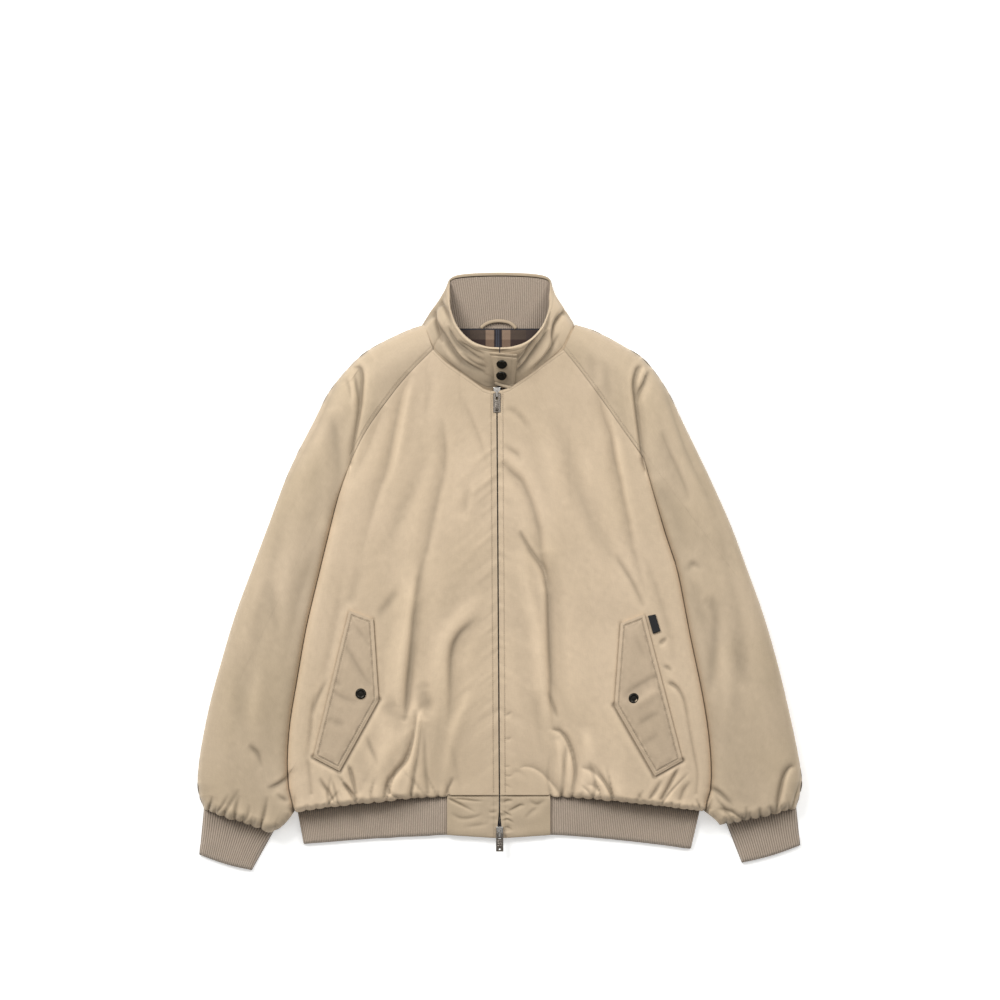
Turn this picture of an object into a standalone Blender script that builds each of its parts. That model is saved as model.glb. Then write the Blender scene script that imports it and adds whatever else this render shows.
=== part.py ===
"""Padded zip jacket laid flat on its back: raglan sleeves, rib collar lining, rib cuffs and hem.

The jacket lies in the XY plane on the floor z = 0, collar towards +Y, front upwards. Its origin is the
middle of its footprint. "right" and "left" are the wearer's, so right is -X. All sizes in the tables
are millimetres; MM turns them into metres where a mesh is made.
"""
import math

import bmesh
import bpy
import numpy as np
from mathutils import Matrix, Vector
from mathutils.bvhtree import BVHTree

MM = 0.001

# ---- driving sizes, millimetres -------------------------------------------------------------------
SEAM_GAP = 0.4            # between pieces along a seam
LAYER_GAP = 0.3           # between walls that lie on each other
FULL_HEIGHT = 40.0        # both padded walls together, at their fullest
EDGE_HEIGHT = 10.0        # both walls at the outline, where they are stitched down
BACK_SHARE = 0.44         # part of the height that the back wall takes
ARM_ROUNDING = 46.0       # how far in from the sleeve's outer edge the padding is full
SIDE_ROUNDING = 26.0      # the same beside the valley between body and sleeve
SIDE_VALLEY = 0.30        # share of the fullness that is left in that valley
HEM_ROUNDING = 34.0        # how far above the hem seam the padding is full
CUFF_ROUNDING = 38.0      # the same above the cuff seams
EDGE_POWER = 2.2          # squareness of the rounded edges
GATHER_LIMIT = 0.42       # deepest gather, as a share of the height where it lies

# Depth and half width to which a seam is drawn into the padding
ZIP_DIP = (3.0, 9.0)
NECK_DIP = (4.5, 9.0)
RAGLAN_DIP = (2.4, 6.0)

ZIP_TOP_X = -4.0          # the zip line leans a little
ZIP_BOTTOM_X = 0.0
ZIP_GAP = 2.0             # between the two front edges
ZIP_CHAIN = {"width": 1.4, "start": 24.0, "stop": 4.0, "sunk": 2.5, "hem_top": 9.0, "clear": 0.8}
HEM_Y = -312.6            # hem seam at the front blocks
HEM_SAG = (70.0, 216.0, 22.0, 1.3)        # from this x, over this width, by this much, power
HEM_BOTTOM_Y = -374.0     # lower edge of the blocks beside the zip
HEM_STEP = 4.5            # how much the lower edge rises from the zip to the end of a block
HEM_DROP = {"right": 12.5, "left": 20.0}  # how much it falls again 200 mm further out
NECK_FRONT_Y = 253.0      # neck seam at the centre front
NECK_BACK_Y = 334.0       # neck seam at the centre back
BACK_NECK_HALF = 86.0     # half of the back neck seam
BACK_NECK_HEIGHT = 7.0    # back wall inside the neck
BLOCK_X = {"right": -72.5, "left": 69.5}  # where the rib starts beside the front blocks
BLOCK = {"gap": 0.5, "height": 8.4, "puff": 4.2, "rounding": 14.0}
HEM_FOLD = {"right": (-284.5, -275.5), "left": (281.5, 268.5)}   # x at the seam and at the lower edge
HEM_RIB = {"height": 8.6, "rounding": 8.0, "wall": 3.6, "fold": 0.55, "inset": 2.0}
HEM_JOIN = 1.4            # between the hem seam and the pieces below it

RIB_PITCH = 2.6           # one knit rib and its furrow
RIB_DEPTH = 0.8
RIB_LAYER = 4.0           # one thickness of rib knit
CUFF = {"edge": 2.6, "crown": 5.8, "rounding": 9.0, "bow": 1.5, "slit": (3.6, 4.3)}
COLLAR_SHELL = 2.6        # outer collar cloth
COLLAR_KNIT = 2.0         # rib lining of the collar, without its ribs
COLLAR_LAYER = 3.2        # from the collar's outer face to its rib lining
RIM_SHARE = 0.945         # where the collar's rolled edge starts, up its height
RIM_TURN = 5.3            # thickness of the rolled edge
LINING_HALF = (84.0, 82.0)                # half width of the neck lining, front and back
LAID = {                  # clearance over the cloth and thickness of the pieces that lie on it
    "neck_lining": (0.9, 0.8),
    "pocket_flap": (0.7, 2.6),
    "side_tag": (0.9, 1.2),
    "collar_tab": (0.8, 2.4),
}
HEM_OF_LAID = 0.75        # thickness at the border of such a piece, as a share
HANGER_TUBE = {"radius": 1.9, "foot": 3.4, "arch": 1.6}
SNAP_RADIUS = 7.5
SNAP_HEIGHT = 3.4
SNAP_CLEAR = {"pocket": 0.4, "collar": 0.7}

# Snap cap in section: share of the radius, share of the height, from its middle to its underside
SNAP_SECTION = ((0.0, 0.72), (0.45, 0.80), (0.72, 1.0), (0.93, 0.72), (1.0, 0.28), (0.96, 0.0), (0.0, 0.0))

SIDES = {"right": -1, "left": 1}

# Sleeve outer edge, shoulder to cuff: y, wearer's right x, wearer's left x
SLEEVE_OUTER = (
    (347.0, -106.0, 106.0),
    (338.0, -132.0, 134.0),
    (317.0, -175.0, 174.0),
    (296.0, -203.0, 205.0),
    (255.0, -238.0, 235.0),
    (213.0, -260.0, 255.5),
    (171.0, -282.0, 276.0),
    (129.0, -301.0, 296.0),
    (66.0, -324.5, 324.0),
    (3.0, -348.0, 347.5),
    (-60.0, -371.0, 370.0),
    (-123.0, -390.0, 388.5),
    (-186.0, -407.0, 404.0),
    (-249.0, -419.5, 417.5),
    (-291.0, -424.0, 424.0),
    (-313.0, -422.0, 421.0),
)
OUTER_ROWS_BY_RAGLAN = 7  # rows of SLEEVE_OUTER that face the raglan seam

# Raglan seam, neck to underarm: y, right x, left x
RAGLAN = (
    (311.0, -93.0, 89.0),
    (276.0, -128.0, 117.0),
    (235.0, -161.0, 147.0),
    (195.0, -188.0, 175.0),
    (160.0, -206.0, 201.0),
)

# Body side, underarm to hem: y, right x, left x
BODY_SIDE = (
    (160.0, -206.0, 201.0),
    (105.0, -226.0, 216.5),
    (50.0, -240.0, 233.0),
    (0.0, -252.0, 249.0),
    (-80.0, -271.0, 264.5),
    (-160.0, -285.0, 281.0),
    (-216.0, -294.0, 290.5),
    (-270.0, -297.0, 295.5),
    (-308.0, -294.0, 294.0),
    (-333.0, -286.0, 284.0),
)

# Lower end of the sleeve's inner edge, beside the hem: y, right x, left x
SLEEVE_TAIL = (
    (-333.0, -286.0, 284.0),
    (-346.0, -295.0, 301.0),
    (-357.0, -306.0, 311.0),
)

# Cuffs: corner points x, y at the seam (outer, inner) and at the open end (outer, inner)
CUFF_CORNERS = {
    "right": ((-415.5, -331.0), (-317.0, -363.0), (-422.0, -397.0), (-348.0, -419.0)),
    "left": ((416.5, -329.0), (318.0, -352.0), (422.0, -384.0), (340.0, -408.5)),
}

# Neck seam of the front, centre front to raglan: half width, y
NECK_FRONT = ((0.0, 253.0), (14.0, 255.0), (27.0, 260.0), (48.0, 273.0), (74.0, 293.0), (91.0, 311.0))

# Collar, outer face, centre front to centre back: base x, y, z and top x, y, z of one half
COLLAR = (
    (0.0, 265.0, 38.0, 0.0, 309.0, 76.0),
    (15.0, 259.0, 34.5, 20.0, 311.0, 76.0),
    (43.5, 271.8, 33.5, 44.0, 323.0, 70.0),
    (72.5, 294.0, 32.0, 62.0, 343.0, 58.0),
    (87.0, 313.0, 28.0, 70.0, 366.0, 43.0),
    (96.0, 331.0, 20.0, 73.0, 386.0, 28.0),
    (103.0, 349.0, 9.0, 74.0, 402.0, 12.0),
    (90.0, 341.0, 0.0, 69.0, 411.5, 0.0),
    (58.0, 335.6, 0.0, 48.0, 417.0, 0.0),
    (0.0, 334.6, 0.0, 0.0, 419.0, 0.0),
)

# Main creases: start x, y, end x, y, half width, depth (a ridge has a negative depth)
CREASES = (
    (-128, 266, -154, 180, 9, 3.2),
    (-154, 180, -175, 105, 12, 3.6),
    (-175, 105, -194, 25, 14, 2.6),
    (-80, 195, -84, 105, 11, 2.2),
    (-84, 105, -116, -50, 15, 2.2),
    (-97, -155, -106, -180, 9, 2.6),
    (140, 228, 158, 165, 9, 3.2),
    (158, 165, 175, 90, 12, 3.4),
    (175, 90, 194, 5, 14, 2.4),
    (6, 148, 44, 85, 9, 2.6),
    (44, 85, 56, 28, 12, 2.0),
    (27, 38, 64, -40, 11, 2.0),
    (75, -222, 104, -264, 9, 3.0),
    (104, -264, 101, -304, 7, 2.4),
    (-206, 286, -193, 250, 7, 4.0),
    (-193, 250, -205, 165, 9, 3.0),
    (187, 286, 190, 232, 7, 4.0),
    (190, 232, 201, 160, 9, 3.0),
    (-262, 140, -318, -40, 15, -2.4),
    (-318, -40, -352, -200, 16, -2.4),
    (-290, 20, -322, -130, 12, 2.2),
    (-380, -150, -392, -270, 13, 2.0),
    (262, 130, 316, -40, 15, -2.4),
    (316, -40, 350, -200, 16, -2.4),
    (292, 10, 325, -140, 12, 2.2),
    (382, -150, 392, -270, 13, 2.0),
    (-322, -290, -296, -322, 9, 3.0),
    (386, -276, 382, -330, 8, 4.0),
    (318, -304, 300, -322, 9, 3.0),
    (-130, 30, -150, -90, 22, -2.0),
    (120, 30, 140, -90, 22, -2.0),
)

# Gathers along the hem seam: x at the seam, half width, depth, length upwards, lean to the side
HEM_GATHERS = (
    (-262, 8, 3.4, 26, 0.10),
    (-238, 7, 4.6, 40, 0.45),
    (-212, 8, 4.2, 34, 0.30),
    (-176, 8, 5.0, 62, -0.45),
    (-147, 7, 4.0, 30, 0.20),
    (-118, 8, 4.2, 34, 0.00),
    (-88, 7, 5.0, 26, -0.40),
    (84, 7, 5.0, 44, -0.50),
    (112, 8, 4.6, 30, 0.15),
    (140, 8, 3.8, 26, -0.10),
    (172, 9, 4.6, 36, 0.25),
    (206, 8, 4.6, 50, -0.55),
    (232, 8, 4.4, 44, -0.50),
    (260, 7, 3.8, 28, -0.30),
)

# Gathers along the cuff seams: share of the seam from the outer edge, half width, depth, length
CUFF_GATHERS = (
    (0.10, 6, 3.0, 26),
    (0.26, 6, 4.4, 40),
    (0.44, 7, 5.0, 34),
    (0.62, 6, 4.0, 26),
    (0.80, 6, 4.2, 34),
    (0.93, 5, 3.0, 22),
)

# Pocket flaps: five corners x, y from the top outer one, and the snap's centre
FLAPS = {
    "right": ((-210, -53), (-176.5, -65.5), (-169, -178), (-223.5, -277), (-260, -258), (-193.5, -169)),
    "left": ((201.5, -58), (168.5, -71), (160, -185.5), (216.5, -284), (254.5, -262.5), (187, -175.5)),
}
TAG = ((206.5, -60.5), (217.0, -58.5), (224.0, -82.0), (213.5, -85.5))
TAB = ((-13.0, 303.5), (24.5, 300.0), (19.0, 253.5), (-13.0, 263.5))
TAB_SNAPS = ((3.0, 290.0), (2.5, 274.5))
HANGER = ((-27.5, 339.5), (-22.0, 346.0), (-12.0, 350.5), (0.0, 352.0), (12.0, 350.0), (22.0, 338.5))

# Pins of the zip pulls: y, z and how far the pull tips down, degrees
PULL_PINS = {"top": (249.0, 40.5, 3.0), "bottom": (-366.0, 19.0, 9.0)}
PIN_HEIGHT = 1.9          # pull's pin line above the slider body
SLIDER = {"width": 9.6, "length": 14.0, "height": 3.6, "front": 4.7}
BRIDGE = {"width": 2.4, "length": 9.0, "height": 5.2, "bar": 1.2, "tunnel": 3.0}
PULL = {"width": 10.4, "length": 27.0, "thickness": 1.8, "bar": 1.7}
PULL_WINDOW = {"width": 3.6, "length": 7.5}
PULL_HOLE = {"radius": 1.3, "from_end": 4.2}
CUT_THROUGH = 6.0         # depth of the cutters

# ---- grid sizes -----------------------------------------------------------------------------------
RAGLAN_ROWS = 8
SIDE_ROWS = 15
TAIL_ROWS = 2
FRONT_COLUMNS = 22
SLEEVE_COLUMNS = 9
INSIDE_COLUMNS = 5        # inside of a front, and the back's columns under it
SLEEVE_INSIDE = 4
COLLAR_COLUMNS = 72
BACK_NECK_ROWS = (0.12, 0.45, 1.0)        # from the front neck seam to the back one
CUFF_ROWS = (0.0, 0.5, 1.0)
COLLAR_CURVE = 480        # points of the curves that the collar's columns are read from

COLLECTION = "padded_zip_jacket"


# ---- curves and grids -----------------------------------------------------------------------------
def smooth_curve(points, count, steps=24):
    """Cubic through the points, then cut into count equal lengths."""
    points = np.asarray(points, float)
    padded = np.vstack((2 * points[0] - points[1], points, 2 * points[-1] - points[-2]))
    t = np.linspace(0.0, 1.0, steps, endpoint=False)[:, None]
    pieces = []
    for before, start, end, after in zip(padded, padded[1:], padded[2:], padded[3:]):
        pieces.append(start + 0.5 * t * (end - before + t * (2 * before - 5 * start + 4 * end - after
                                                            + t * (3 * (start - end) + after - before))))
    line = np.vstack(pieces + [points[-1:]])
    length = np.concatenate(([0.0], np.cumsum(np.linalg.norm(np.diff(line, axis=0), axis=1))))
    even = np.linspace(0.0, length[-1], count + 1)
    return np.column_stack([np.interp(even, length, line[:, axis]) for axis in range(line.shape[1])])


def side_points(table, side):
    """x, y points of one side of a table with the columns y, right x, left x."""
    column = 1 if side == "right" else 2
    return [(row[column], row[0]) for row in table]


def chain(*parts):
    """Joined curves, each starting where the one before it ends."""
    return np.vstack([parts[0]] + [part[1:] for part in parts[1:]])


def coons(first_row, last_row, first_column, last_column):
    """Patch between four edge curves: the two ruled surfaces added, less the bilinear one."""
    rows, columns = len(first_column), len(first_row)
    u = np.linspace(0.0, 1.0, columns)[None, :, None]
    v = np.linspace(0.0, 1.0, rows)[:, None, None]
    ruled = ((1 - v) * first_row[None] + v * last_row[None]
             + (1 - u) * first_column[:, None] + u * last_column[:, None])
    corners = ((1 - u) * (1 - v) * first_row[0] + u * (1 - v) * first_row[-1]
               + (1 - u) * v * last_row[0] + u * v * last_row[-1])
    return ruled - corners


def with_height(plan, height):
    return np.dstack((plan, height))


def distance_to(line, x, y):
    """Shortest distance from every x, y to a polyline."""
    start, end = line[:-1], line[1:]
    along = end - start
    rel_x = x[..., None] - start[:, 0]
    rel_y = y[..., None] - start[:, 1]
    share = (rel_x * along[:, 0] + rel_y * along[:, 1]) / (along ** 2).sum(1)
    share = np.clip(share, 0.0, 1.0)
    return np.hypot(rel_x - share * along[:, 0], rel_y - share * along[:, 1]).min(-1)


def smoothstep(low, high, value):
    share = np.clip((value - low) / (high - low), 0.0, 1.0)
    return share * share * (3 - 2 * share)


# ---- outline curves -------------------------------------------------------------------------------
def zip_x(y):
    """The zip line, from the hem up to the neck."""
    share = (np.asarray(y) - HEM_BOTTOM_Y) / (NECK_FRONT_Y - HEM_BOTTOM_Y)
    return ZIP_BOTTOM_X + (ZIP_TOP_X - ZIP_BOTTOM_X) * share


def hem_seam_y(x):
    """The hem seam sags from the blocks to the sides."""
    start, width, sag, power = HEM_SAG
    return HEM_Y - sag * np.clip((np.abs(x) - start) / width, 0.0, 1.0) ** power


def hem_bottom_y(x):
    """Lower edge of the hem: lowest beside the zip and at the sides."""
    x = np.asarray(x, float)
    rise = HEM_STEP * np.clip(np.abs(x) / 72.0, 0.0, 1.0)
    beyond = np.clip((np.abs(x) - 72.0) / 200.0, 0.0, 1.3)
    drop = np.where(x < 0, HEM_DROP["right"], HEM_DROP["left"])
    return HEM_BOTTOM_Y + rise - drop * beyond ** 1.35


def body_side(side):
    return smooth_curve(side_points(BODY_SIDE, side), SIDE_ROWS)


def raglan(side):
    return smooth_curve(side_points(RAGLAN, side), RAGLAN_ROWS)


def sleeve_outer(side):
    points = side_points(SLEEVE_OUTER, side) + [CUFF_CORNERS[side][0]]
    upper = smooth_curve(points[:OUTER_ROWS_BY_RAGLAN], RAGLAN_ROWS)
    lower = smooth_curve(points[OUTER_ROWS_BY_RAGLAN - 1:], SIDE_ROWS + TAIL_ROWS)
    return chain(upper, lower)


def sleeve_tail(side):
    points = side_points(SLEEVE_TAIL, side) + [CUFF_CORNERS[side][1]]
    return smooth_curve(points, TAIL_ROWS)


def neck_front(side):
    """Front neck seam from the raglan seam to the zip."""
    sign = SIDES[side]
    points = [(sign * half, y) for half, y in reversed(NECK_FRONT[1:])]
    points[0] = side_points(RAGLAN, side)[0]
    points.append((float(zip_x(NECK_FRONT_Y)) + sign * ZIP_GAP / 2, NECK_FRONT_Y))
    return points


def cuff_seam(side, count):
    outer, inner = CUFF_CORNERS[side][:2]
    share = np.linspace(0.0, 1.0, count + 1)[:, None]
    return np.asarray(outer) * (1 - share) + np.asarray(inner) * share


OUTLINES = {side: sleeve_outer(side) for side in SIDES}
VALLEYS = {side: chain(body_side(side), sleeve_tail(side)) for side in SIDES}
RAGLANS = {side: raglan(side) for side in SIDES}
CUFF_SEAMS = {side: cuff_seam(side, 2) for side in SIDES}
HEM_X = np.linspace(-286.0, 284.0, 40)
HEM_SEAM = np.column_stack((HEM_X, hem_seam_y(HEM_X)))
NECK_SEAM = np.vstack((smooth_curve(neck_front("right"), 12), smooth_curve(neck_front("left"), 12)[::-1]))
ZIP_LINE = np.array([(ZIP_BOTTOM_X, HEM_BOTTOM_Y), (ZIP_TOP_X, NECK_FRONT_Y)])


# ---- heights --------------------------------------------------------------------------------------
def rounded(distance, width):
    """Superellipse quarter from 0 at the edge to 1 at the width."""
    inner = 1.0 - np.clip(distance / width, 0.0, 1.0)
    return (1.0 - inner ** EDGE_POWER) ** (1.0 / EDGE_POWER)


def plain_height(x, y):
    """Both walls together without creases: full inside, rounded down at outline, hem, cuffs, sides."""
    fullness = np.ones_like(x)
    for side in SIDES:
        valley = rounded(distance_to(VALLEYS[side], x, y), SIDE_ROUNDING)
        fullness = fullness * rounded(distance_to(OUTLINES[side], x, y), ARM_ROUNDING)
        fullness = fullness * (SIDE_VALLEY + (1 - SIDE_VALLEY) * valley)
        fullness = fullness * rounded(distance_to(CUFF_SEAMS[side], x, y), CUFF_ROUNDING)
    fullness = fullness * rounded(distance_to(HEM_SEAM, x, y), HEM_ROUNDING)
    return EDGE_HEIGHT + (FULL_HEIGHT - EDGE_HEIGHT) * fullness


def flat_under_flaps(x, y):
    """1 away from the pocket flaps, 0 under them, so that a flap lies on smooth cloth."""
    clear = np.ones_like(x)
    for corners in FLAPS.values():
        middle = np.array([corners[0], corners[2], corners[4]], float).mean(0)
        clear = clear * smoothstep(50.0, 90.0, np.hypot((x - middle[0]) * 1.5, (y - middle[1]) * 0.8))
    return clear


def crease_depth(x, y):
    depth = np.zeros_like(x)
    for x1, y1, x2, y2, width, deep in CREASES:
        line = np.array([(x1, y1), (x2, y2)], float)
        depth = depth + deep * np.exp(-(distance_to(line, x, y) / width) ** 2)
    return depth * flat_under_flaps(x, y)


def gather_depth(x, y):
    """Soft troughs that start at the hem and cuff seams and fade upwards."""
    depth = np.zeros_like(x)
    above = y - hem_seam_y(x)
    over_body = (np.abs(x) < 284.0) & (above > -4.0)
    for at, width, deep, length, lean in HEM_GATHERS:
        across = x - at - lean * above
        depth = depth + over_body * deep * np.exp(-(across / width) ** 2 - np.clip(above, 0.0, None) / length)
    for side in SIDES:
        outer, inner = (np.asarray(point) for point in CUFF_CORNERS[side][:2])
        along = (inner - outer) / np.linalg.norm(inner - outer)
        up = np.array((-along[1], along[0])) * -SIDES[side]
        rel_x, rel_y = x - outer[0], y - outer[1]
        share_mm = rel_x * along[0] + rel_y * along[1]
        above = rel_x * up[0] + rel_y * up[1]
        near = (above > -6.0) & (np.abs(x) > 286.0)
        for share, width, deep, length in CUFF_GATHERS:
            across = share_mm - share * np.linalg.norm(inner - outer)
            depth = depth + near * deep * np.exp(-(across / width) ** 2 - np.clip(above, 0.0, None) / length)
    return depth


def top_height(x, y):
    """Upper face of the jacket, with seams drawn in, creases and gathers."""
    plain = plain_height(x, y)
    seams = np.zeros_like(x)
    for line, (deep, width) in ((ZIP_LINE, ZIP_DIP), (NECK_SEAM, NECK_DIP),
                                (RAGLANS["right"], RAGLAN_DIP), (RAGLANS["left"], RAGLAN_DIP)):
        seams = seams + deep * np.exp(-(distance_to(line, x, y) / width) ** 2)
    share = np.clip((plain - EDGE_HEIGHT) / (FULL_HEIGHT - EDGE_HEIGHT), 0.0, 1.0)
    gathers = np.minimum(gather_depth(x, y), GATHER_LIMIT * plain - 1.0)
    return plain - share * (seams + crease_depth(x, y)) - gathers


# ---- meshes ---------------------------------------------------------------------------------------
def zipper(first, second, points):
    """Triangles between two vertex chains with unlike counts, each step by the shorter cross edge."""
    faces, i, j = [], 0, 0
    last_i, last_j = len(first) - 1, len(second) - 1
    while i < last_i or j < last_j:
        along_first = np.linalg.norm(points[first[i + 1]] - points[second[j]]) if i < last_i else math.inf
        along_second = np.linalg.norm(points[first[i]] - points[second[j + 1]]) if j < last_j else math.inf
        if along_first <= along_second:
            faces.append((first[i], first[i + 1], second[j]))
            i += 1
        else:
            faces.append((first[i], second[j + 1], second[j]))
            j += 1
    return faces


def grid_faces(numbers, points, closed=False):
    """Two triangles a cell, cut along its shorter diagonal, so that pieces with one grid lie flush."""
    if closed:
        numbers = np.column_stack((numbers, numbers[:, :1]))
    a, b = numbers[:-1, :-1].ravel(), numbers[:-1, 1:].ravel()
    c, d = numbers[1:, 1:].ravel(), numbers[1:, :-1].ravel()
    plan = points[:, :2]
    short = np.linalg.norm(plan[a] - plan[c], axis=1) < np.linalg.norm(plan[b] - plan[d], axis=1)
    short = short[:, None]
    first = np.where(short, np.column_stack((a, b, c)), np.column_stack((a, b, d)))
    second = np.where(short, np.column_stack((a, c, d)), np.column_stack((b, c, d)))
    return np.vstack((first, second)).tolist()


def add_object(name, mesh, material, collection):
    mesh.materials.append(material)
    thing = bpy.data.objects.new(name, mesh)
    collection.objects.link(thing)
    return thing


def wall(name, outer, inner, material, collection, closed=False):
    """Closed solid between two skins, each rows x columns x 3, whose column counts may differ."""
    rows = outer.shape[0]
    first = np.arange(rows * outer.shape[1]).reshape(rows, -1)
    second = np.arange(rows * inner.shape[1]).reshape(rows, -1) + first.size
    points = np.vstack((outer.reshape(-1, 3), inner.reshape(-1, 3)))
    faces = grid_faces(first, points, closed) + [face[::-1] for face in grid_faces(second, points, closed)]
    for row in (0, -1):
        ends = [first[row].tolist(), second[row].tolist()]
        if closed:
            ends = [end + end[:1] for end in ends]
        faces += zipper(*ends, points)
    if not closed:
        for column in (0, -1):
            faces += grid_faces(np.column_stack((first[:, column], second[:, column])), points)
    mesh = bpy.data.meshes.new(name)
    mesh.from_pydata((points * MM).tolist(), [], faces)
    shell = bmesh.new()
    shell.from_mesh(mesh)
    bmesh.ops.recalc_face_normals(shell, faces=shell.faces)
    shell.to_mesh(mesh)
    shell.free()
    mesh.shade_smooth()
    mesh.set_sharp_from_angle(angle=math.radians(50))
    return add_object(name, mesh, material, collection)


def material(name, colour, roughness, metallic=0.0):
    made = bpy.data.materials.new(name)
    made.use_nodes = True
    shader = made.node_tree.nodes["Principled BSDF"]
    shader.inputs["Base Color"].default_value = (*colour, 1.0)
    shader.inputs["Roughness"].default_value = roughness
    shader.inputs["Metallic"].default_value = metallic
    return made


def inset(curve, amount, towards):
    """Curve moved in plan by an amount towards the side where the point lies."""
    step = np.gradient(curve, axis=0)
    normal = np.column_stack((-step[:, 1], step[:, 0])) / np.linalg.norm(step, axis=1)[:, None]
    middle = len(curve) // 2
    sign = np.sign(normal[middle] @ (np.asarray(towards) - curve[middle]))
    return curve + sign * amount * normal


# ---- cloth panels ---------------------------------------------------------------------------------
def front_plan(side, columns):
    """Front panel in plan: rows from the hem to the neck, columns from the side to the zip."""
    beside_zip = SIDES[side] * ZIP_GAP / 2
    edge = chain(raglan(side), body_side(side))[::-1]
    edge = inset(edge, SEAM_GAP / 2, (0.0, edge[len(edge) // 2, 1]))
    share = np.linspace(0, 1, columns + 1)[:, None]
    neck = smooth_curve(neck_front(side), columns)
    neck = neck + (1 - share) * (edge[-1] - neck[0])
    hem_x = np.linspace(edge[0, 0], zip_x(HEM_Y) + beside_zip, columns + 1)
    hem = np.column_stack((hem_x, hem_seam_y(hem_x)))
    hem = hem + (1 - share) * (edge[0] - hem[0])
    middle_y = np.linspace(HEM_Y, NECK_FRONT_Y, len(edge))
    middle = np.column_stack((zip_x(middle_y) + beside_zip, middle_y))
    return coons(hem, neck, edge, middle)


def make_front(side, cloth, collection):
    outer = front_plan(side, FRONT_COLUMNS)
    inner = front_plan(side, INSIDE_COLUMNS)
    top = with_height(outer, top_height(outer[..., 0], outer[..., 1]))
    under = wall_between(inner) + LAYER_GAP
    return wall(f"front_{side}", top, with_height(inner, under), cloth, collection)


def wall_between(plan):
    """Height of the face where the back wall meets the front wall."""
    return BACK_SHARE * plain_height(plan[..., 0], plan[..., 1])


def back_plan():
    """Back panel in plan: the inside grids of both fronts side by side, then rows up to the back neck."""
    right, left = (front_plan(side, INSIDE_COLUMNS) for side in SIDES)
    under_fronts = np.concatenate((right, left[:, ::-1]), 1)
    neck_x = np.linspace(-BACK_NECK_HALF, BACK_NECK_HALF, under_fronts.shape[1])
    neck = np.column_stack((neck_x, np.full(len(neck_x), NECK_BACK_Y)))
    share = np.array(BACK_NECK_ROWS)[:, None, None]
    above = under_fronts[-1:] * (1 - share) + neck * share
    return np.concatenate((under_fronts, above))


def make_back(cloth, collection):
    plan = back_plan()
    top = wall_between(plan)
    under_neck = len(BACK_NECK_ROWS)
    top[-under_neck:] = BACK_NECK_HEIGHT
    top[-under_neck] = 0.5 * (top[-under_neck - 1] + BACK_NECK_HEIGHT)
    floor = np.zeros(plan.shape[:2])
    return wall("back_panel", with_height(plan, top), with_height(plan, floor), cloth, collection)


def sleeve_plan(side, columns):
    """One sleeve wall in plan: rows from the neck to the cuff, columns from the outer edge inwards."""
    outer = sleeve_outer(side)
    inner = chain(raglan(side), body_side(side), sleeve_tail(side))
    inner = inset(inner, SEAM_GAP / 2, (SIDES[side] * 400.0, inner[len(inner) // 2, 1]))
    share = np.linspace(0, 1, columns + 1)[:, None]
    neck = outer[0] * (1 - share) + inner[0] * share
    cuff = outer[-1] * (1 - share) + inner[-1] * share
    return coons(neck, cuff, outer, inner)


def make_sleeve(side, cloth, collection):
    """Front and back wall of one sleeve, the back one flat on the floor."""
    outer = sleeve_plan(side, SLEEVE_COLUMNS)
    inner = sleeve_plan(side, SLEEVE_INSIDE)
    top = with_height(outer, top_height(outer[..., 0], outer[..., 1]))
    meeting = wall_between(inner)
    floor = np.zeros(inner.shape[:2])
    wall(f"sleeve_front_{side}", top, with_height(inner, meeting + LAYER_GAP), cloth, collection)
    wall(f"sleeve_back_{side}", with_height(inner, meeting), with_height(inner, floor), cloth, collection)


# ---- rib knit -------------------------------------------------------------------------------------
def rib_wave(count):
    """Heights of count ribs as a triangle wave, furrow to crest, with furrows at both ends."""
    return np.where(np.arange(2 * count + 1) % 2, 0.0, -RIB_DEPTH)


def make_cuff(side, knit, collection):
    """Flattened tube of rib: ribs on its upper face, flat underneath, a thin slit inside."""
    seam_outer, seam_inner, end_outer, end_inner = (np.asarray(p, float) for p in CUFF_CORNERS[side])
    width = np.linalg.norm(seam_inner - seam_outer)
    step = (end_outer - seam_outer) * SEAM_GAP / np.linalg.norm(end_outer - seam_outer)
    ribs = int(width / RIB_PITCH)
    across = np.linspace(1.0, 0.0, 2 * ribs + 1)
    from_edge = np.minimum(across, 1 - across) * width
    crest = CUFF["edge"] + CUFF["crown"] * rounded(from_edge, CUFF["rounding"]) + rib_wave(ribs)
    under = np.linspace(0.03, 0.97, 5)
    slit = np.linspace(0.05, 0.95, ribs // 2 + 1)
    slit_low, slit_high = CUFF["slit"]
    outer_rows, inner_rows = [], []
    for share in CUFF_ROWS:
        left = seam_outer + step + (end_outer - seam_outer - step) * share
        right = seam_inner + step + (end_inner - seam_inner - step) * share
        waist = (right - left) / np.linalg.norm(right - left) * CUFF["bow"] * math.sin(math.pi * share)
        left, right = left + waist, right - waist

        def section(shares, height):
            plan = left * (1 - shares[:, None]) + right * shares[:, None]
            return np.column_stack((plan, np.broadcast_to(height, shares.shape)))

        outer_rows.append(np.vstack((section(under, 0.0), section(across, crest))))
        inner_rows.append(np.vstack((section(slit[::4], slit_low), section(slit[::-1], slit_high))))
    return wall(f"cuff_{side}", np.array(outer_rows), np.array(inner_rows), knit, collection, closed=True)


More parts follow.
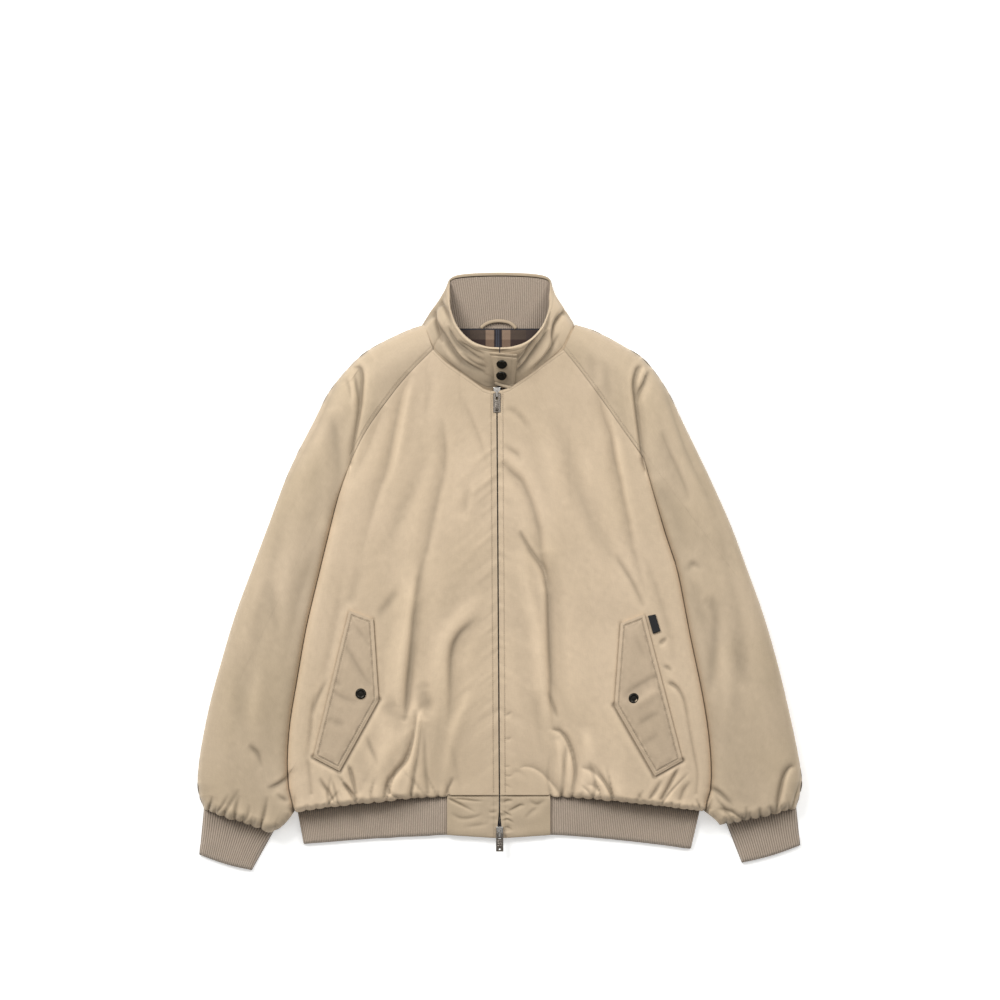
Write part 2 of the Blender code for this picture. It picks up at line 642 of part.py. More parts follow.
def hem_band(offset, crest, floor, ribbed):
    """One skin of the hem rib: right half from block to fold, lower layer, left half back to its block."""
    rows = []
    for share in (0.0, 1.0):
        upper, folds = [], []
        for side, sign in SIDES.items():
            at_seam, at_end = HEM_FOLD[side]
            fold = at_seam + (at_end - at_seam) * share - sign * offset
            ribs = int(abs(at_seam - BLOCK_X[side]) / RIB_PITCH)
            x = np.linspace(BLOCK_X[side], fold, 2 * ribs + 1 if ribbed else ribs // 3 + 1)
            roundness = rounded(np.abs(x - fold), HEM_RIB["rounding"] - offset)
            z = crest - (crest - floor) * HEM_RIB["fold"] * (1 - roundness)
            upper.append(np.column_stack((x, z + rib_wave(ribs) if ribbed else z)))
            folds.append(fold - sign * HEM_RIB["inset"] * ribbed)
        lower_x = np.linspace(*folds, 14)
        lower = np.column_stack((lower_x, np.full(len(lower_x), floor)))
        path = np.vstack((upper[0], lower, upper[1][::-1]))
        seam = hem_seam_y(path[:, 0]) - HEM_JOIN
        y = seam + (hem_bottom_y(path[:, 0]) - seam) * share
        rows.append(np.column_stack((path[:, 0], y, path[:, 1])))
    return np.array(rows)


def make_hem_rib(knit, collection):
    """One band of rib from block to block round the back: upper layers ribbed, lower layer flat."""
    outer = hem_band(0.0, HEM_RIB["height"], 0.0, True)
    inner = hem_band(HEM_RIB["wall"], RIB_LAYER + 0.7, RIB_LAYER - 0.3, False)
    return wall("hem_rib", outer, inner, knit, collection)


def make_hem_block(side, cloth, collection):
    """Cloth block beside the zip, on the back rib."""
    sign = SIDES[side]
    down = np.linspace(0, 1, 7)[:, None]

    def plan(columns):
        across = np.linspace(0, 1, columns + 1)[None, :]
        rib_edge = BLOCK_X[side] - sign * BLOCK["gap"]
        x = rib_edge * (1 - across) + (zip_x(HEM_Y) + sign * ZIP_GAP / 2) * across + 0 * down
        seam = hem_seam_y(x) - HEM_JOIN
        return np.dstack((x, seam + (hem_bottom_y(x) - seam) * down))

    outer, inner = plan(6), plan(2)
    from_edge = np.minimum(down, 1 - down) * (HEM_Y - HEM_BOTTOM_Y)
    crest = BLOCK["height"] + BLOCK["puff"] * rounded(from_edge, BLOCK["rounding"])
    top = with_height(outer, np.broadcast_to(crest, outer.shape[:2]))
    under = with_height(inner, np.full(inner.shape[:2], RIB_LAYER + LAYER_GAP))
    return wall(f"hem_block_{side}", top, under, cloth, collection)


# ---- collar ---------------------------------------------------------------------------------------
def collar_curves():
    """Base and top curves of the collar's outer face and its inward normals, centre front round the back."""
    half = np.array(COLLAR, float)
    mirrored = half[-2:0:-1] * np.array((-1, 1, 1, -1, 1, 1))
    loop = np.vstack((half, mirrored, half[:1]))
    base, top = (smooth_curve(loop[:, columns], COLLAR_CURVE) for columns in (slice(0, 3), slice(3, 6)))
    for curve in (base, top):
        curve[:, 2] = np.maximum(curve[:, 2], 0.0)
    normal = np.cross(np.gradient((base + top) / 2, axis=0), top - base)
    normal /= np.linalg.norm(normal, axis=1)[:, None]
    reach = 11
    around = np.pad(normal, ((reach, reach), (0, 0)), "edge")
    window = np.hanning(2 * reach + 3)[1:-1]
    normal = np.column_stack([np.convolve(around[:, axis], window, "valid") for axis in range(3)])
    normal /= np.linalg.norm(normal, axis=1)[:, None]
    return base, top, normal * np.sign(normal[COLLAR_CURVE // 2, 2])


def collar_skin(count, shares, offsets):
    """Rows up the collar at the shares of its height, moved in by the offsets (one per row or array)."""
    at = np.linspace(0.6, COLLAR_CURVE - 0.6, count + 1)
    base, top, normal = (np.column_stack([np.interp(at, np.arange(COLLAR_CURVE + 1), curve[:, axis])
                                          for axis in range(3)]) for curve in collar_curves())
    rows = [base * (1 - share) + top * share + normal * np.reshape(offset, (-1, 1))
            for share, offset in zip(shares, offsets)]
    return np.array(rows)


def make_collar(cloth, knit, collection):
    """Outer cloth with its rolled edge, and the rib that lines it."""
    shares = (0.0, 0.5, RIM_SHARE - 0.012, RIM_SHARE, 1.0)
    outer = collar_skin(COLLAR_COLUMNS, shares, (0.0, 0.0, 0.0, 0.0, 0.0))
    depths = (COLLAR_SHELL, COLLAR_SHELL, COLLAR_SHELL, RIM_TURN, RIM_TURN - 0.6)
    inner = collar_skin(COLLAR_COLUMNS, shares, depths)
    shell = wall("collar_shell", outer, inner, cloth, collection)
    base, top, _ = collar_curves()
    length = np.linalg.norm(np.diff((base + top) / 2, axis=0), axis=1).sum()
    ribs = int(length / RIB_PITCH)
    shares = (0.0, 0.5, RIM_SHARE - 0.035)
    plain = collar_skin(COLLAR_COLUMNS, shares, (COLLAR_LAYER, COLLAR_LAYER, COLLAR_LAYER))
    crests = COLLAR_LAYER + COLLAR_KNIT + RIB_DEPTH / 2 + rib_wave(ribs)
    ribbed = collar_skin(2 * ribs, shares, (crests, crests, crests))
    return shell, wall("collar_rib", ribbed, plain, knit, collection)


def make_neck_lining(tree, check, collection):
    """Back lining that shows inside the neck, on the back wall."""
    across = np.linspace(-1, 1, 15)
    front_x, rear_x = (across * half for half in LINING_HALF)
    front = np.column_stack((front_x, np.interp(np.abs(front_x), *np.transpose(NECK_FRONT)) + 4.0))
    rear = np.column_stack((rear_x, np.full(len(across), NECK_BACK_Y - 1.0)))
    rows = np.linspace(0, 1, 7)[:, None]
    right = front[:1] + (rear[:1] - front[:1]) * rows
    left = front[-1:] + (rear[-1:] - front[-1:]) * rows
    plan = coons(front, rear, right, left)
    return laid_patch("neck_lining", plan, tree, LAID["neck_lining"], check, collection)


# ---- pieces that lie on the cloth -----------------------------------------------------------------
def world_tree(things):
    bpy.context.view_layer.update()
    points, faces = [], []
    for thing in things:
        start = len(points)
        points += [thing.matrix_world @ vertex.co for vertex in thing.data.vertices]
        faces += [[start + i for i in face.vertices] for face in thing.data.polygons]
    return BVHTree.FromPolygons(points, faces)


def height_on(tree, x, y):
    """Height in millimetres and normal of the surface under a point; no number where there is none."""
    hit, normal, _, _ = tree.ray_cast(Vector((x * MM, y * MM, 1.0)), Vector((0, 0, -1)))
    return (hit.z / MM if hit else math.nan), normal


def highest_near(tree, x, y, reach=2.2):
    """Highest point of the surface within reach of a place."""
    around = [height_on(tree, x + reach * i, y + reach * j)[0] for i in (-1, 0, 1) for j in (-1, 0, 1)]
    known = [height for height in around if not math.isnan(height)]
    return max(known) if known else math.nan


def bridge_gaps(heights):
    """Heights down each column with the missing ones taken from their neighbours."""
    rows = np.arange(len(heights))
    for column in heights.T:
        known = ~np.isnan(column)
        column[:] = np.interp(rows, rows[known], column[known])
    return heights


def laid_patch(name, plan, tree, layer, finish, collection):
    """Plate whose lower face follows the cloth under it, thinner towards its border."""
    clearance, thickness = layer
    under = bridge_gaps(np.array([[highest_near(tree, *point) for point in row] for row in plan])) + clearance
    crest = np.full(plan.shape[:2], thickness * HEM_OF_LAID)
    crest[1:-1, 1:-1] = thickness
    return wall(name, with_height(plan, under + crest), with_height(plan, under), finish, collection)


def make_flap(side, tree, cloth, collection):
    """Five-sided flap, double at its edge."""
    a, b, c, d, e = (np.array(corner, float) for corner in FLAPS[side][:5])
    rows = 10
    outer_edge = smooth_curve([a, e], rows)
    inner_edge = chain(smooth_curve([b, c], rows // 2), smooth_curve([c, d], rows - rows // 2))
    share = np.linspace(0, 1, 5)[:, None]
    plan = coons(a * (1 - share) + b * share, e * (1 - share) + d * share, outer_edge, inner_edge)
    return laid_patch(f"pocket_flap_{side}", plan, tree, LAID["pocket_flap"], cloth, collection)


def quad_plan(corners, rows, columns):
    a, b, c, d = (np.array(corner, float) for corner in corners)
    across = np.linspace(0, 1, columns + 1)[None, :, None]
    down = np.linspace(0, 1, rows + 1)[:, None, None]
    return (a * (1 - across) + b * across) * (1 - down) + (d * (1 - across) + c * across) * down


def make_snap(name, at, tree, clearance, metal, collection):
    """Snap cap: a low dome turned about its axis."""
    z, normal = height_on(tree, *at)
    mesh = bpy.data.meshes.new(name)
    points = [(out * SNAP_RADIUS * MM, 0.0, up * SNAP_HEIGHT * MM) for out, up in SNAP_SECTION]
    mesh.from_pydata(points, [(i, i + 1) for i in range(len(points) - 1)], [])
    cap = add_object(name, mesh, metal, collection)
    turn = cap.modifiers.new("turn", "SCREW")
    turn.steps = turn.render_steps = 20
    turn.use_merge_vertices = True
    turn.merge_threshold = 0.00001
    turn.use_smooth_shade = True
    upright = normal.normalized()
    place = Vector((at[0] * MM, at[1] * MM, z * MM)) + upright * clearance * MM
    cap.matrix_world = Matrix.Translation(place) @ upright.to_track_quat("Z", "Y").to_matrix().to_4x4()
    return cap


def tube(name, points, radius, finish, collection):
    curve = bpy.data.curves.new(name, "CURVE")
    curve.dimensions = "3D"
    curve.bevel_depth = radius * MM
    curve.bevel_resolution = 2
    curve.use_fill_caps = True
    spline = curve.splines.new("POLY")
    spline.points.add(len(points) - 1)
    for slot, point in zip(spline.points, points):
        slot.co = (*(value * MM for value in point), 1.0)
    curve.materials.append(finish)
    thing = bpy.data.objects.new(name, curve)
    collection.objects.link(thing)
    return thing


def make_hanger(cloth, tree, collection):
    """Rolled loop at the back neck, its ends on the seam."""
    line = smooth_curve(HANGER, 14)
    arch = HANGER_TUBE["foot"] + HANGER_TUBE["arch"] * np.sin(np.pi * np.linspace(0, 1, len(line)))
    points = [(x, y, height_on(tree, x, y)[0] + lift) for (x, y), lift in zip(line, arch)]
    return tube("hanger_loop", points, HANGER_TUBE["radius"], cloth, collection)


# ---- zip ------------------------------------------------------------------------------------------
def make_zip_chain(metal, collection):
    """Closed chain between the two front edges."""
    y = np.linspace(HEM_BOTTOM_Y + ZIP_CHAIN["start"], NECK_FRONT_Y - ZIP_CHAIN["stop"], 27)
    x = zip_x(y)
    over_body = y > HEM_Y - 1.0
    crest = np.where(over_body, top_height(x, y) - ZIP_CHAIN["sunk"], ZIP_CHAIN["hem_top"])
    foot = np.where(over_body, BACK_SHARE * plain_height(x, y), RIB_LAYER) + ZIP_CHAIN["clear"]
    half = ZIP_CHAIN["width"] / 2
    top, under = (np.stack([np.column_stack((x + side * half, y, height)) for side in (-1, 1)], axis=1)
                  for height in (crest, foot))
    return wall("zip_chain", top, under, metal, collection)


def rounded_plate(size, centre, bevel, segments=1):
    """Bevelled box, millimetres."""
    shape = bmesh.new()
    bmesh.ops.create_cube(shape, size=1.0)
    bmesh.ops.scale(shape, vec=size, verts=shape.verts)
    bmesh.ops.bevel(shape, geom=shape.edges[:], offset=bevel, segments=segments, affect="EDGES", profile=0.6)
    bmesh.ops.translate(shape, vec=centre, verts=shape.verts)
    return shape


def shape_object(name, shape, origin, tilt, finish, collection):
    """bmesh in millimetres to an object at a place, tilted about X."""
    bmesh.ops.scale(shape, vec=(MM, MM, MM), verts=shape.verts)
    mesh = bpy.data.meshes.new(name)
    shape.to_mesh(mesh)
    shape.free()
    thing = add_object(name, mesh, finish, collection)
    thing.location = [value * MM for value in origin]
    thing.rotation_euler = (math.radians(tilt), 0.0, 0.0)
    mesh.shade_smooth()
    mesh.set_sharp_from_angle(angle=math.radians(40))
    return thing


def combine(base, guide, operation):
    """Union or difference with a guide object that isn't rendered."""
    change = base.modifiers.new(operation.lower(), "BOOLEAN")
    change.object = guide
    change.operation = operation
    change.solver = "EXACT"
    guide.hide_render = True
    guide.display_type = "WIRE"


def make_slider(name, at, metal, collection, cutters):
    """Slider body with a bridge for the pull; its origin is the pull's pin line in the bridge."""
    middle_y = SLIDER["length"] / 2 - SLIDER["front"]
    middle_z = -PIN_HEIGHT - SLIDER["height"] / 2
    body = rounded_plate((SLIDER["width"], SLIDER["length"], SLIDER["height"]), (0, middle_y, middle_z), 1.1, 2)
    arch = rounded_plate((BRIDGE["width"], BRIDGE["length"], BRIDGE["height"]), (0, 0, 0), 0.5)
    tunnel_length = BRIDGE["length"] - 2 * BRIDGE["bar"]
    tunnel = rounded_plate((CUT_THROUGH, tunnel_length, BRIDGE["tunnel"]), (0, 0, 0), 0.3)
    slider = shape_object(name, body, at, 0.0, metal, collection)
    combine(slider, shape_object(f"{name}_bridge", arch, at, 0.0, metal, cutters), "UNION")
    combine(slider, shape_object(f"{name}_tunnel", tunnel, at, 0.0, metal, cutters), "DIFFERENCE")


def make_pull(name, at, tilt, metal, collection, cutters):
    """Flat pull tab with a window round the slider's bridge and a hole at its end."""
    bar = PULL["bar"] / 2
    size = (PULL["width"], PULL["length"], PULL["thickness"])
    plate = rounded_plate(size, (0, bar - PULL["length"] / 2, 0), 0.45)
    opening = PULL_WINDOW["length"]
    window = rounded_plate((PULL_WINDOW["width"], opening, CUT_THROUGH), (0, -bar - opening / 2, 0), 0.4)
    hole = bmesh.new()
    bmesh.ops.create_cone(hole, cap_ends=True, segments=12, radius1=PULL_HOLE["radius"],
                          radius2=PULL_HOLE["radius"], depth=CUT_THROUGH)
    bmesh.ops.translate(hole, vec=(0, PULL_HOLE["from_end"] - PULL["length"], 0), verts=hole.verts)
    pull = shape_object(name, plate, at, tilt, metal, collection)
    combine(pull, shape_object(f"{name}_window", window, at, tilt, metal, cutters), "DIFFERENCE")
    combine(pull, shape_object(f"{name}_hole", hole, at, tilt, metal, cutters), "DIFFERENCE")


# ---- whole ----------------------------------------------------------------------------------------
def clear_scene():
    for thing in list(bpy.data.objects):
        bpy.data.objects.remove(thing, do_unlink=True)


def build():
    clear_scene()
    collection = bpy.data.collections.new(COLLECTION)
    cutters = bpy.data.collections.new("cutters")
    for group in (collection, cutters):
        bpy.context.scene.collection.children.link(group)
    cloth = material("khaki_shell_cloth", (0.58, 0.46, 0.33), 0.75)
    knit = material("taupe_rib_knit", (0.33, 0.26, 0.20), 0.9)
    check = material("check_lining", (0.10, 0.07, 0.05), 0.85)
    gunmetal = material("gunmetal", (0.05, 0.05, 0.045), 0.4, 0.8)
    steel = material("plated_zinc", (0.6, 0.6, 0.6), 0.3, 1.0)
    antique = material("antique_zinc", (0.25, 0.22, 0.19), 0.45, 0.9)
    black = material("black_tape", (0.01, 0.01, 0.012), 0.8)

    fronts = {side: make_front(side, cloth, collection) for side in SIDES}
    back = make_back(cloth, collection)
    make_hem_rib(knit, collection)
    for side in SIDES:
        make_sleeve(side, cloth, collection)
        make_cuff(side, knit, collection)
        make_hem_block(side, cloth, collection)
    shell, rib = make_collar(cloth, knit, collection)
    lining = make_neck_lining(world_tree([back]), check, collection)

    for side in SIDES:
        tree = world_tree([fronts[side]])
        flap = make_flap(side, tree, cloth, collection)
        flap_tree = world_tree([flap])
        make_snap(f"snap_pocket_{side}", FLAPS[side][5], flap_tree, SNAP_CLEAR["pocket"], gunmetal, collection)
    tree = world_tree([fronts["left"]])
    laid_patch("side_tag", quad_plan(TAG, 2, 1), tree, LAID["side_tag"], black, collection)
    tree = world_tree([shell, *fronts.values()])
    tab = laid_patch("collar_tab", quad_plan(TAB, 8, 6), tree, LAID["collar_tab"], cloth, collection)
    tab_tree = world_tree([tab])
    for number, at in enumerate(TAB_SNAPS, 1):
        make_snap(f"snap_collar_{number}", at, tab_tree, SNAP_CLEAR["collar"], gunmetal, collection)
    make_hanger(cloth, world_tree([rib, lining]), collection)

    make_zip_chain(steel, collection)
    for end, (pin_y, pin_z, tilt) in PULL_PINS.items():
        pin = (float(zip_x(pin_y)), pin_y, pin_z)
        make_slider(f"slider_{end}", pin, steel, collection, cutters)
        make_pull(f"pull_{end}", pin, tilt, antique, collection, cutters)


build()
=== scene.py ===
"""Padded zip jacket laid flat: the cloth, knit, metal and sewing of the part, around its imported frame.

The jacket lies in the XY plane on z = 0, collar towards +Y, front upwards. "right" and "left" are the
wearer's, so right is -X. Tables are in millimetres unless they say picture units: a picture unit is 1.4 mm,
counted from the upper left corner of the picture.
"""
import math

import bpy
import numpy as np
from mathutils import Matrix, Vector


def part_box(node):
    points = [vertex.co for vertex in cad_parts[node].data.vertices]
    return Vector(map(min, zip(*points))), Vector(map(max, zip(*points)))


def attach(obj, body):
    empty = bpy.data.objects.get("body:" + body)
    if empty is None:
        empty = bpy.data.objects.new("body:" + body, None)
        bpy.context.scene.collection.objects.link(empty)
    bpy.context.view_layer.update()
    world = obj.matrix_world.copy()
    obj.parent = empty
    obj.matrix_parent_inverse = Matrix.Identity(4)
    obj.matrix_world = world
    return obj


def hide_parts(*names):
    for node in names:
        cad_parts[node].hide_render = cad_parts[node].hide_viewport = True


bl_info = {
    "name": "Padded zip jacket",
    "version": (1, 0, 0),
    "blender": (4, 5, 0),
    "location": "View3D > Sidebar > Jacket",
    "description": "Makes the cloth, knit, metal and sewing of a padded zip jacket laid flat",
    "category": "Object",
}

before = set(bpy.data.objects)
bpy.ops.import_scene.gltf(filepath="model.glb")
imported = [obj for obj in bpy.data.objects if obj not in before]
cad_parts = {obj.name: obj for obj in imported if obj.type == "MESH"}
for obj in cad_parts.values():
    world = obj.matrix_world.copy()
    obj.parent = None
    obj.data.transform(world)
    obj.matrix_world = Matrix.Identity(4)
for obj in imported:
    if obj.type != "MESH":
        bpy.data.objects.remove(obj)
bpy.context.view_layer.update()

MM = 0.001
UNIT = 1.4                 # millimetres in a picture unit
PICTURE_X = 499.75         # picture units at x = 0
PICTURE_Y = 572.0          # picture units at y = 0

SEAM_GAP = 0.4
LAYER_GAP = 0.3
FULL_HEIGHT = 40.0
EDGE_HEIGHT = 10.0
BACK_SHARE = 0.44
ARM_ROUNDING = 42.0
SIDE_ROUNDING = 19.0
SIDE_VALLEY = 0.62
HEM_ROUNDING = 10.0
BLOCK_RISE = 290.0         # how slowly the fronts rise from the blocks beside the zip
CUFF_ROUNDING = 16.0
EDGE_POWER = 2.2

ZIP_TOP_X = -4.0
ZIP_BOTTOM_X = 0.0
ZIP_GAP = 2.0
ZIP_STITCH = 8.2           # from the middle of the zip to the stitches beside it
NECK_STITCH = 5.2          # from the neck seam down to its stitches
FLAP_STITCH = 5.2          # from a flap's edges in to its stitches
RAGLAN_STITCH = (3.4, 2.6)
STITCH_REACH = 12.0        # distances to stitches are kept up to this one
POINTS_PER_RIB = 6
CUFF_RIB_SCALE = 1.4       # cuff ribs are drawn coarser, because finer ones would shimmer on the slant
HEM_Y = -312.6
HEM_SAG = (70.0, 216.0, 22.0, 1.3)
HEM_BOTTOM_Y = -374.0
HEM_STEP = 4.5
HEM_DROP = {"right": 12.5, "left": 20.0}
NECK_FRONT_Y = 253.0
NECK_BACK_Y = 334.0
LINING_TOP_Y = 341.4
BACK_NECK_HALF = 86.0
BACK_NECK_HEIGHT = 7.0
BLOCK_X = {"right": -72.5, "left": 69.5}
HEM_FOLD = {"right": (-284.5, -275.5), "left": (281.5, 268.5)}
BLOCK_UNDER = 0.8            # how far a block reaches under the front above it
HEM_RIB_TOP = 8.6

SIDES = {"right": -1, "left": 1}

SLEEVE_OUTER = (
    (347.0, -106.0, 106.0), (338.0, -132.0, 134.0), (317.0, -175.0, 174.0), (296.0, -203.0, 205.0),
    (255.0, -238.0, 235.0), (213.0, -260.0, 255.5), (171.0, -282.0, 276.0), (129.0, -301.0, 296.0),
    (66.0, -324.5, 324.0), (3.0, -348.0, 347.5), (-60.0, -371.0, 370.0), (-123.0, -390.0, 388.5),
    (-186.0, -407.0, 404.0), (-249.0, -419.5, 417.5), (-291.0, -424.0, 424.0), (-313.0, -422.0, 421.0),
)
OUTER_ROWS_BY_RAGLAN = 7
RAGLAN = (
    (311.0, -93.0, 89.0), (276.0, -128.0, 117.0), (235.0, -161.0, 147.0), (195.0, -188.0, 175.0),
    (160.0, -206.0, 201.0),
)
BODY_SIDE = (
    (160.0, -206.0, 201.0), (105.0, -226.0, 216.5), (50.0, -240.0, 233.0), (0.0, -252.0, 249.0),
    (-80.0, -271.0, 264.5), (-160.0, -285.0, 281.0), (-216.0, -294.0, 290.5), (-270.0, -297.0, 295.5),
    (-308.0, -294.0, 294.0), (-333.0, -286.0, 284.0),
)
SLEEVE_TAIL = ((-333.0, -286.0, 284.0), (-346.0, -295.0, 301.0), (-357.0, -306.0, 311.0))
CUFF_CORNERS = {
    "right": ((-415.5, -331.0), (-317.0, -363.0), (-422.0, -397.0), (-348.0, -419.0)),
    "left": ((416.5, -329.0), (318.0, -352.0), (422.0, -384.0), (340.0, -408.5)),
}
NECK_FRONT = {
    "right": ((0.0, 253.0), (14.0, 253.5), (22.0, 256.0), (37.0, 266.5), (55.0, 279.0), (76.0, 294.0),
              (91.0, 311.0)),
    "left": ((0.0, 254.0), (12.0, 257.0), (24.0, 264.5), (44.0, 278.0), (64.0, 293.5), (82.0, 306.5),
             (89.0, 311.0)),
}
COLLAR_TOP = ((0.0, 310.0, 76.0), (20.0, 312.0, 76.0), (42.0, 321.0, 70.0), (60.0, 341.0, 58.0),
              (69.0, 366.0, 43.0), (71.5, 386.0, 28.0), (73.0, 402.0, 12.0), (69.0, 413.0, 0.0),
              (48.0, 418.5, 0.0), (0.0, 420.5, 0.0))
COLLAR_BASE = {
    "left": ((0.0, 260.0, 37.0), (22.0, 261.0, 34.0), (44.0, 275.0, 33.5), (66.0, 292.0, 32.0),
             (86.5, 309.5, 28.0), (98.0, 330.0, 20.0), (104.0, 347.0, 8.0), (90.0, 341.0, 0.0),
             (58.0, 335.6, 0.0), (0.0, 334.6, 0.0)),
    "right": ((0.0, 262.0, 37.5), (-17.0, 256.0, 34.0), (-44.0, 271.0, 33.5), (-74.0, 293.0, 32.0),
              (-93.5, 311.0, 27.0), (-104.0, 331.0, 18.0), (-108.5, 347.0, 7.0), (-92.0, 341.0, 0.0),
              (-58.0, 335.6, 0.0), (0.0, 334.6, 0.0)),
}
FLAPS = {
    "right": ((-210, -53), (-176.5, -65.5), (-169, -178), (-223.5, -277), (-260, -258), (-193.5, -169)),
    "left": ((201.5, -58), (168.5, -71), (160, -185.5), (216.5, -284), (254.5, -262.5), (187, -175.5)),
}
TAG = ((206.5, -60.5), (217.0, -58.5), (224.0, -82.0), (213.5, -85.5))
TAB = ((-24.0, 306.0), (24.5, 302.5), (19.5, 253.5), (-20.0, 266.0))
HANGER = ((-26.5, 342.2), (-21.0, 347.0), (-12.0, 350.8), (-1.0, 352.0), (11.0, 350.4), (18.0, 346.6),
          (22.5, 341.6))

